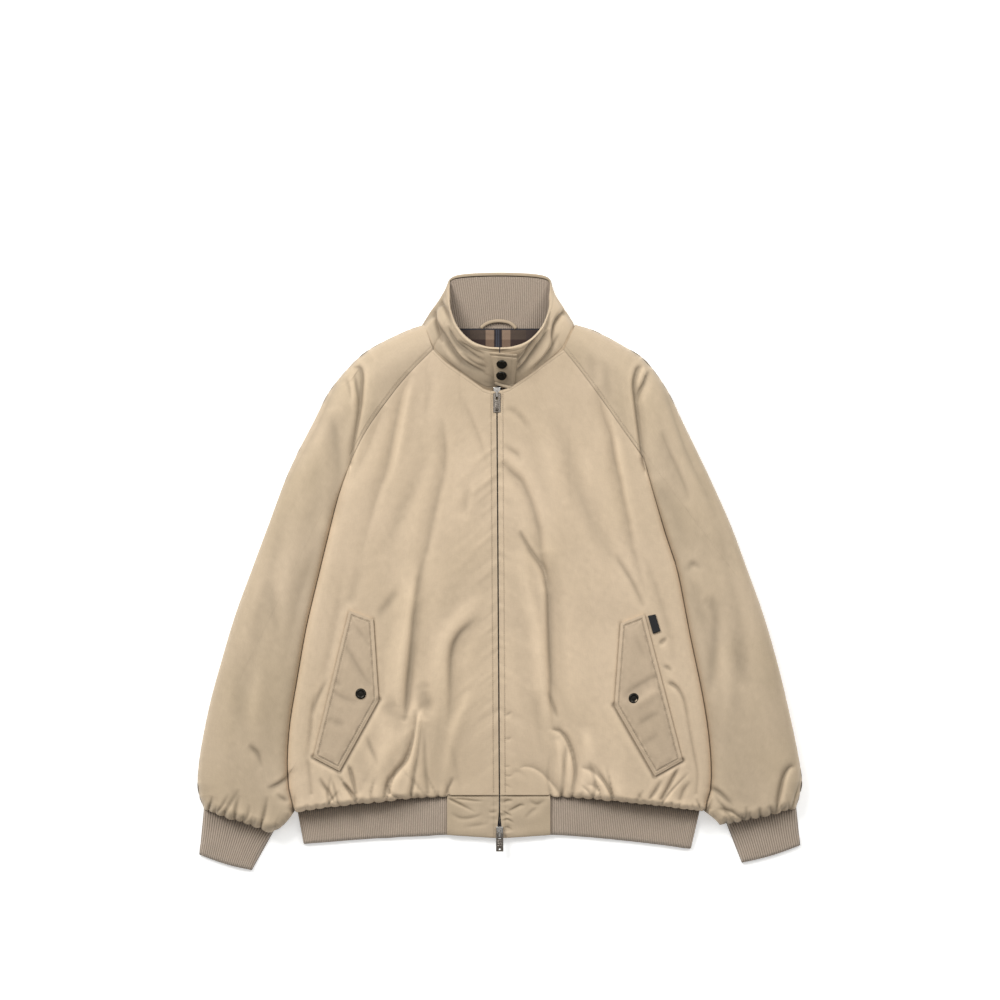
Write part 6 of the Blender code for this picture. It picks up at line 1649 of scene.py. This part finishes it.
def make_lining():
    """Back neck lining: from under the neck seam, over the back, up to the collar's rib."""
    u, v = np.linspace(0, 1, 110), np.concatenate((np.linspace(0, 0.1, 9), np.linspace(0.1, 1, 44)[1:]))
    low_x, high_x = (u * 2 - 1) * 84.0, (u * 2 - 1) * 82.0
    seam_y = [np.interp(np.abs(low_x), *np.transpose(NECK_FRONT[side])) for side in SIDES]
    low = np.column_stack((low_x, np.where(low_x < 0, *seam_y) + 1.6))
    high = np.column_stack((high_x, np.full(len(u), LINING_TOP_Y)))
    plan = low[None] * (1 - v[:, None, None]) + high[None] * v[:, None, None]
    x, y = plan[..., 0], plan[..., 1]
    z = node_top("neck_lining", x, y) + 0.7 * ripple(x, y, (24.0, 13.0), 71)
    z = np.maximum(z, 8.6 * smoothstep(NECK_BACK_Y - 8.0, NECK_BACK_Y, y))
    wall = jacket_height(low[:, 0], low[:, 1] - 2.5) - 6.0
    z += (wall - z) * (1 - smoothstep(0.0, 0.1, v))[:, None]
    piece = grid_object("neck_lining_cloth", np.dstack((plan, z)), check_lining(), np.dstack((x, y)))
    finish_piece(piece, "jacket", ["neck_lining"])
    return piece


# ---- swept and turned shapes ----------------------------------------------------------------------
def frames_along(path, up):
    """Tangent, side and up vectors along a path."""
    tangent = np.gradient(path, axis=0)
    tangent /= np.linalg.norm(tangent, axis=1)[:, None]
    side = np.cross(tangent, up)
    side /= np.linalg.norm(side, axis=1)[:, None]
    return tangent, side, np.cross(side, tangent)


def swept(name, path, section, up, material):
    """Closed section (side, up) carried along a path, capped with fans at both ends."""
    _, side, over = frames_along(path, up)
    points = path[:, None] + section[None, :, :1] * side[:, None] + section[None, :, 1:] * over[:, None]
    rows, columns = points.shape[:2]
    faces = grid_numbers(rows, columns, wrap=True)
    mesh = np.vstack((points.reshape(-1, 3), points[0].mean(0), points[-1].mean(0)))
    ring = np.arange(columns)
    after, last, tip = np.roll(ring, -1), (rows - 1) * columns, np.full(columns, rows * columns)
    caps = np.vstack((np.column_stack((tip, ring, after)),
                      np.column_stack((tip + 1, after + last, ring + last))))
    quads = faces[:, ::-1].tolist() + caps.tolist()
    return mesh_object(name, mesh, quads, material)


def ellipse(width, height, count=14):
    """Section of an ellipse: half width cos, half height sin."""
    angle = np.linspace(0, 2 * np.pi, count, endpoint=False)
    return np.column_stack((width / 2 * np.cos(angle), height / 2 * np.sin(angle)))


def make_hanger():
    """Rolled loop of the shell cloth over the lower edge of the collar rib."""
    line = smooth_curve(HANGER, 40)
    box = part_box("hanger_loop")
    low, high = box[0].z / MM, box[1].z / MM
    arch = low + 2.2 + (high - low - 4.2) * np.sin(np.pi * np.linspace(0, 1, len(line))) ** 0.6
    path = np.column_stack((line, arch))
    piece = swept("hanger_loop_cloth", path, ellipse(4.6, 2.4), np.array((0.0, 0.0, 1.0)),
                  shell_cloth("sleeve"))
    finish_piece(piece, "jacket", ["hanger_loop"])
    return piece


def capsules(name, starts, ends, ups, width, height, material):
    """Many stitches in one mesh: each a flat five-sided rod between two points, raised in its middle."""
    middle = (starts + ends) / 2 + ups * height * 0.9
    along = ends - starts
    side = np.cross(along, ups)
    side /= np.maximum(np.linalg.norm(side, axis=1)[:, None], 1e-9)
    rings = []
    raised = ups * height * 0.55
    for centre, wide, tall in ((starts, 0.35, 0.2), (starts + along * 0.22 + raised, 1.0, 0.8),
                               (middle, 1.0, 1.0), (ends - along * 0.22 + raised, 1.0, 0.8),
                               (ends, 0.35, 0.2)):
        for angle in np.linspace(0, 2 * np.pi, 5, endpoint=False):
            beside = centre + side * (width / 2 * wide * math.cos(angle))
            rings.append(beside + ups * (height * tall * math.sin(angle) * 0.5))
    points = np.stack(rings, axis=1)
    count, size = points.shape[:2]
    number = np.arange(size).reshape(5, 5)
    ring = np.column_stack((number, number[:, :1]))
    corners = (ring[:-1, :-1], ring[1:, :-1], ring[1:, 1:], ring[:-1, 1:])
    faces = np.stack([corner.ravel() for corner in corners], axis=1)
    faces = (faces[None] + size * np.arange(count)[:, None, None]).reshape(-1, 4)
    return mesh_object(name, points.reshape(-1, 3), faces, material)


def stitched(line, height_at, pitch=3.0, length=2.3):
    """Stitch ends along a plan line, on the surface that height_at gives."""
    run = np.linalg.norm(np.diff(np.asarray(line, float), axis=0), axis=1).sum()
    curve = smooth_curve(line, max(int(run / pitch), 1), 8)
    direction = np.diff(curve, axis=0)
    starts = curve[:-1] + direction * (1 - length / pitch) / 2
    ends = curve[1:] - direction * (1 - length / pitch) / 2
    return [np.column_stack((end, height_at(end[:, 0], end[:, 1]))) for end in (starts, ends)]


def straight(points):
    """Corner-to-corner runs of stitches along straight edges."""
    return [np.array([start, end], float) for start, end in zip(points, points[1:])]


def make_topstitch():
    """All rows of stitches on body, sleeves, flaps, blocks and collar."""
    rows = []
    lift = 0.1
    for side, sign in SIDES.items():
        line = raglan(side) + np.array((sign * RAGLAN_STITCH[0], RAGLAN_STITCH[1]))
        rows.append(stitched(line[2:-2:6], lambda x, y: jacket_height(x, y) + lift))
        zip_y = np.linspace(HEM_Y + 4, NECK_FRONT_Y - 3, 24)
        zip_row = [(float(zip_x(y)) + sign * ZIP_STITCH, y) for y in zip_y]
        rows.append(stitched(zip_row, lambda x, y: jacket_height(x, y) + lift))
        for run in straight(flap_lines(side, FLAP_STITCH)):
            rows.append(stitched(run, lambda x, y, s=side: flap_surface(s, x, y) + lift))
    starts = np.vstack([row[0] for row in rows])
    ends = np.vstack([row[1] for row in rows])
    ups = np.tile((0.0, 0.0, 1.0), (len(starts), 1))
    piece = capsules("topstitch_thread", starts, ends, ups, 0.75, 0.5, spun_thread())
    finish_piece(piece, "jacket")
    return piece


def turned(name, at_mm, upright, profile, material, count=40):
    """Profile (radius, height) turned about an axis through a point."""
    upright = np.asarray(upright, float) / np.linalg.norm(upright)
    side = np.cross(upright, (0.0, 1.0, 0.0))
    side /= np.linalg.norm(side)
    other = np.cross(upright, side)
    angle = np.linspace(0, 2 * np.pi, count, endpoint=False)
    circle = np.cos(angle)[:, None] * side + np.sin(angle)[:, None] * other
    profile = np.asarray(profile, float)
    points = np.asarray(at_mm, float) + profile[:, None, :1] * circle[None] + profile[:, None, 1:] * upright
    tip = np.asarray(at_mm, float) + profile[-1, 1] * upright
    faces = grid_numbers(len(profile), count, wrap=True).tolist()
    last = (len(profile) - 1) * count
    faces += [[last + i, last + (i + 1) % count, len(profile) * count] for i in range(count)]
    return mesh_object(name, np.vstack((points.reshape(-1, 3), tip)), faces, material)


SNAP_PROFILE = ((7.0, -0.4), (7.5, 0.2), (7.5, 1.0), (7.2, 1.9), (6.6, 2.6), (5.8, 2.95), (5.2, 2.9),
                (4.7, 2.55), (4.2, 2.35), (3.0, 2.45), (1.6, 2.55), (0.4, 2.6))


def make_snap(name, node):
    """Snap cap on its node: domed rim round a dished middle."""
    co = node_values(node) / MM
    centre = co.mean(0)
    _, _, axes = np.linalg.svd(co - centre)
    upright = axes[2] * np.sign(axes[2][2])
    foot = centre + upright * ((co - centre) @ upright).min()
    gunmetal = plated_metal("gunmetal_plated_brass", "#1D1D1B", "#3F3C37", 0.38, 700.0)
    piece = turned(name, foot, upright, SNAP_PROFILE, gunmetal)
    finish_piece(piece, "jacket", [node])
    return piece


# ---- zip ------------------------------------------------------------------------------------------
def zip_height(y):
    """Height of the zip's chain: a little under the cloth beside it."""
    x = zip_x(y) + 4.0
    return np.where(y > HEM_Y - 1.0, jacket_height(np.asarray(x, float), np.asarray(y, float)) - 2.6, 10.0)


def make_zip():
    """Teeth 2.2 mm apart that close between the front edges, on the edges of two tapes."""
    y = np.arange(HEM_BOTTOM_Y + 22.0, NECK_FRONT_Y - 2.0, 1.1)
    x, z = zip_x(y), zip_height(y)
    shift = np.where(np.arange(len(y)) % 2, 0.35, -0.35)
    starts = np.column_stack((x + shift - 1.2, y, z))
    ends = np.column_stack((x + shift + 1.2, y, z))
    ups = np.tile((0.0, 0.0, 1.0), (len(y), 1))
    nickel = plated_metal("zip_nickel_plated", "#5B5854", "#A8A39B", 0.36, 900.0)
    teeth = capsules("zip_teeth", starts, ends, ups, 0.85, 0.9, nickel)
    finish_piece(teeth, "jacket", ["zip_chain"])
    rows = np.linspace(HEM_BOTTOM_Y + 3.0, NECK_FRONT_Y + 8.0, 90)
    z = zip_height(rows) - 1.1
    across = np.linspace(-5.0, 5.0, 7)
    grid = np.dstack(np.broadcast_arrays(zip_x(rows)[:, None] + across, rows[:, None], z[:, None]))
    tape = grid_object("zip_tape", grid, woven_tape("tape_zip_polyester", "#2B2A30", "#3A3940"))
    finish_piece(tape, "jacket")
    return teeth


# ---- stage ----------------------------------------------------------------------------------------
CAMERA_HEIGHT = 5.0
GRIP_BARS = (-3.0, -0.4, 2.2, 4.8)   # along a pull from its middle
GRIP_RING = (9.3, 2.3)               # place and radius


def make_stage():
    """Pale floor, large soft lights and the camera straight above."""
    scene = bpy.context.scene
    floor_material, _, shader = new_material("studio_floor_painted")
    shader.inputs["Base Color"].default_value = srgb("#F7F7F5")
    shader.inputs["Roughness"].default_value = 0.9
    shader.inputs["Emission Color"].default_value = (1, 1, 1, 1)
    shader.inputs["Emission Strength"].default_value = scene.jacket_stage.floor_glow
    half = 20000.0
    points = np.array([(-half, -half, -0.5), (half, -half, -0.5), (half, half, -0.5), (-half, half, -0.5)])
    floor = mesh_object("floor", points, [(0, 1, 2, 3)], floor_material)

    world = bpy.data.worlds.new("studio")
    scene.world = world
    world.use_nodes = True
    world.node_tree.nodes["Background"].inputs["Color"].default_value = (1.0, 1.0, 1.0, 1.0)
    world.node_tree.nodes["Background"].inputs["Strength"].default_value = scene.jacket_stage.ambient
    scene.view_settings.view_transform = "Standard"

    for name, size, power, place in (
            ("right_softbox", 1.5, scene.jacket_stage.key * 1.3, (-1.8, 1.9, 2.5)),
            ("left_softbox", 1.5, scene.jacket_stage.key * 0.7, (1.8, 1.9, 2.5)),
            ("overhead_fill", 2.5, scene.jacket_stage.fill, (0.0, 0.6, 4.0))):
        data = bpy.data.lights.new(name, "AREA")
        data.shape = "SQUARE"
        data.size = size
        data.energy = power
        light = bpy.data.objects.new(name, data)
        scene.collection.objects.link(light)
        way = -np.array(place)
        light.location = place
        flat = math.hypot(way[0], way[1])
        light.rotation_euler = (math.atan2(flat, -way[2]), 0.0, math.atan2(-way[0], way[1]))

    data = bpy.data.cameras.new("overhead_camera")
    data.sensor_width = 36.0
    data.lens = 36.0 * (CAMERA_HEIGHT - 0.02) / (1000 * UNIT * MM)
    camera = bpy.data.objects.new("overhead_camera", data)
    scene.collection.objects.link(camera)
    centre = picture(500.0, 500.0)
    camera.location = (centre[0] * MM, centre[1] * MM, CAMERA_HEIGHT)
    scene.camera = camera


# ---- add-on ---------------------------------------------------------------------------------------
class JacketColours(bpy.types.PropertyGroup):
    """Colours of the jacket, as sRGB hex. The sleeve, collar and flap colours are the shell's darkened:
    painted shade.
    """
    shell: bpy.props.StringProperty(name="Shell", description="Shell cloth in full light", default="#D3BDA1")
    shell_shade: bpy.props.StringProperty(name="Shell shade", description="Duller patches of the shell",
                                          default="#C7B295")
    # Painted shade: the sleeve, collar and flap colours below are the shell's, darkened
    sleeve: bpy.props.StringProperty(name="Sleeve", description="Cross-cut cloth in full light",
                                     default="#C5B197")
    sleeve_shade: bpy.props.StringProperty(name="Sleeve shade", description="Its duller patches",
                                           default="#B8A589")
    collar: bpy.props.StringProperty(name="Collar", description="Doubled cloth of the collar",
                                     default="#BEAB91")
    collar_shade: bpy.props.StringProperty(name="Collar shade", description="Its duller patches",
                                           default="#B4A187")
    flap: bpy.props.StringProperty(name="Flap", description="Doubled cloth of the pocket flaps",
                                   default="#C5B096")
    flap_shade: bpy.props.StringProperty(name="Flap shade", description="Its duller patches",
                                         default="#BAA68B")
    knit: bpy.props.StringProperty(name="Knit", description="Crests of the rib knit", default="#BDAC9A")
    # Painted shade: the furrow colour is the knit's own, darkened for the shade in its furrows
    knit_furrow_shade: bpy.props.StringProperty(name="Knit furrow", description="Furrows of the rib knit",
                                          default="#7C6E61")


class JacketKnit(bpy.types.PropertyGroup):
    """Sizes of the rib knit"""
    rib_pitch: bpy.props.FloatProperty(name="Rib pitch", description="Width of one rib and its furrow",
                                       default=0.0026, unit="LENGTH")
    rib_depth: bpy.props.FloatProperty(name="Rib depth", description="Depth of the furrows", default=0.0009,
                                       unit="LENGTH")


class JacketStage(bpy.types.PropertyGroup):
    """Light of the studio"""
    key: bpy.props.FloatProperty(name="Key light", description="Power of the softbox beyond the collar",
                                 default=78.0, unit="POWER")
    fill: bpy.props.FloatProperty(name="Fill light", description="Power of the overhead light", default=16.0,
                                  unit="POWER")
    ambient: bpy.props.FloatProperty(name="Ambient", description="Strength of the pale surroundings",
                                     default=0.225)
    floor_glow: bpy.props.FloatProperty(name="Floor glow", description="Light from the floor itself",
                                        default=0.38)


def make_snaps():
    """The four snap caps."""
    for name, node in (("snap_cap_collar_1", "snap_collar_1"), ("snap_cap_collar_2", "snap_collar_2"),
                       ("snap_cap_pocket_right", "snap_pocket_right"),
                       ("snap_cap_pocket_left", "snap_pocket_left")):
        make_snap(name, node)


def make_grip(end, metal):
    """Raised bars and a ring round the hole on the face of a pull: rods laid in its own plane."""
    co = node_values("pull_" + end) / MM
    centre = (co.max(0) + co.min(0)) / 2
    _, _, axes = np.linalg.svd(co - centre, full_matrices=False)
    down = axes[0] * -np.sign(axes[0][1])
    over = axes[2] * np.sign(axes[2][2])
    across = np.cross(over, down)
    face = centre + over * ((co - centre) @ over).max()
    places = np.array(GRIP_BARS)[:, None] * down
    starts, ends = face + places - 3.9 * across, face + places + 3.9 * across
    angle = np.linspace(0, 2 * np.pi, 15)
    circle = np.cos(angle)[:, None] * down + np.sin(angle)[:, None] * across
    ring = face + GRIP_RING[0] * down + GRIP_RING[1] * circle
    starts, ends = np.vstack((starts, ring[:-1])), np.vstack((ends, ring[1:]))
    ups = np.tile(over, (len(starts), 1))
    piece = capsules(f"pull_{end}_grip", starts, ends, ups, 1.5, 1.1, metal)
    return finish_piece(piece, "pull_" + end)


def dress_sliders():
    """Plates both sliders and both pulls, and puts the grips on the pulls."""
    nickel = plated_metal("slider_nickel_plated", "#8D8A86", "#D8D4CE", 0.30, 500.0)
    antique = plated_metal("pull_antique_zinc", "#6B635B", "#BDB4A9", 0.40, 650.0)
    for node, finish in (("slider_top", nickel), ("slider_bottom", nickel), ("pull_top", antique),
                         ("pull_bottom", antique)):
        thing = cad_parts[node]
        thing.data.materials.clear()
        thing.data.materials.append(finish)
    for end in ("top", "bottom"):
        make_grip(end, antique)


class JACKET_OT_stage(bpy.types.Operator):
    """Floor, lights and camera"""
    bl_idname = "jacket.stage"
    bl_label = "Stage"
    bl_options = {"REGISTER", "UNDO"}

    def execute(self, context):
        make_stage()
        return {"FINISHED"}


class JACKET_OT_back(bpy.types.Operator):
    """Back panel and back parts of the sleeves"""
    bl_idname = "jacket.back"
    bl_label = "Back"
    bl_options = {"REGISTER", "UNDO"}

    def execute(self, context):
        make_back()
        for side in SIDES:
            make_sleeve_back(side)
        return {"FINISHED"}


class JACKET_OT_fronts(bpy.types.Operator):
    """Right and left front"""
    bl_idname = "jacket.fronts"
    bl_label = "Fronts"
    bl_options = {"REGISTER", "UNDO"}

    def execute(self, context):
        for side in SIDES:
            make_front(side)
        return {"FINISHED"}


class JACKET_OT_sleeves(bpy.types.Operator):
    """Front parts of both sleeves"""
    bl_idname = "jacket.sleeves"
    bl_label = "Sleeves"
    bl_options = {"REGISTER", "UNDO"}

    def execute(self, context):
        for side in SIDES:
            make_sleeve_front(side)
        return {"FINISHED"}


class JACKET_OT_hem(bpy.types.Operator):
    """Hem rib and its cloth blocks"""
    bl_idname = "jacket.hem"
    bl_label = "Hem"
    bl_options = {"REGISTER", "UNDO"}

    def execute(self, context):
        make_hem_rib()
        for side in SIDES:
            make_hem_block(side)
        return {"FINISHED"}


class JACKET_OT_cuffs(bpy.types.Operator):
    """Rib cuffs"""
    bl_idname = "jacket.cuffs"
    bl_label = "Cuffs"
    bl_options = {"REGISTER", "UNDO"}

    def execute(self, context):
        for side in SIDES:
            make_cuff(side)
        return {"FINISHED"}


class JACKET_OT_collar(bpy.types.Operator):
    """Collar, its rib lining and its tab"""
    bl_idname = "jacket.collar"
    bl_label = "Collar"
    bl_options = {"REGISTER", "UNDO"}

    def execute(self, context):
        make_collar()
        make_collar_rib()
        make_tab()
        return {"FINISHED"}


class JACKET_OT_neck(bpy.types.Operator):
    """Neck lining and hanger loop"""
    bl_idname = "jacket.neck"
    bl_label = "Neck"
    bl_options = {"REGISTER", "UNDO"}

    def execute(self, context):
        make_lining()
        make_hanger()
        return {"FINISHED"}


class JACKET_OT_pockets(bpy.types.Operator):
    """Pocket flaps and the side tape"""
    bl_idname = "jacket.pockets"
    bl_label = "Pockets"
    bl_options = {"REGISTER", "UNDO"}

    def execute(self, context):
        for side in SIDES:
            make_flap(side)
        make_tape()
        return {"FINISHED"}


class JACKET_OT_zip(bpy.types.Operator):
    """Zip teeth, tape, sliders and pulls"""
    bl_idname = "jacket.zip"
    bl_label = "Zip"
    bl_options = {"REGISTER", "UNDO"}

    def execute(self, context):
        make_zip()
        dress_sliders()
        return {"FINISHED"}


class JACKET_OT_snaps(bpy.types.Operator):
    """Snap caps"""
    bl_idname = "jacket.snaps"
    bl_label = "Snaps"
    bl_options = {"REGISTER", "UNDO"}

    def execute(self, context):
        make_snaps()
        return {"FINISHED"}


class JACKET_OT_topstitch(bpy.types.Operator):
    """Rows of stitches"""
    bl_idname = "jacket.topstitch"
    bl_label = "Topstitch"
    bl_options = {"REGISTER", "UNDO"}

    def execute(self, context):
        make_topstitch()
        return {"FINISHED"}


OPERATORS = (JACKET_OT_stage, JACKET_OT_back, JACKET_OT_fronts, JACKET_OT_sleeves, JACKET_OT_hem,
             JACKET_OT_cuffs, JACKET_OT_collar, JACKET_OT_neck, JACKET_OT_pockets, JACKET_OT_zip,
             JACKET_OT_snaps, JACKET_OT_topstitch)


class JACKET_PT_pieces(bpy.types.Panel):
    """Lists the jacket's settings and pieces"""
    bl_label = "Padded zip jacket"
    bl_idname = "JACKET_PT_pieces"
    bl_space_type = "VIEW_3D"
    bl_region_type = "UI"
    bl_category = "Jacket"

    def draw(self, context):
        for group in (context.scene.jacket_colours, context.scene.jacket_knit, context.scene.jacket_stage):
            for key in group.__annotations__:
                self.layout.prop(group, key)
        for operator in OPERATORS:
            self.layout.operator(operator.bl_idname)


CLASSES = (JacketColours, JacketKnit, JacketStage, *OPERATORS, JACKET_PT_pieces)


def register():
    """Registers the classes and the settings of the scene."""
    for made in CLASSES:
        bpy.utils.register_class(made)
    bpy.types.Scene.jacket_colours = bpy.props.PointerProperty(type=JacketColours)
    bpy.types.Scene.jacket_knit = bpy.props.PointerProperty(type=JacketKnit)
    bpy.types.Scene.jacket_stage = bpy.props.PointerProperty(type=JacketStage)


def unregister():
    """Takes the settings and classes away again."""
    for key in ("jacket_colours", "jacket_knit", "jacket_stage"):
        delattr(bpy.types.Scene, key)
    for made in reversed(CLASSES):
        bpy.utils.unregister_class(made)


def main():
    """Makes every piece in order."""
    register()
    for operator in OPERATORS:
        getattr(bpy.ops.jacket, operator.bl_idname.split(".")[1])()


if __name__ == "__main__":
    main()
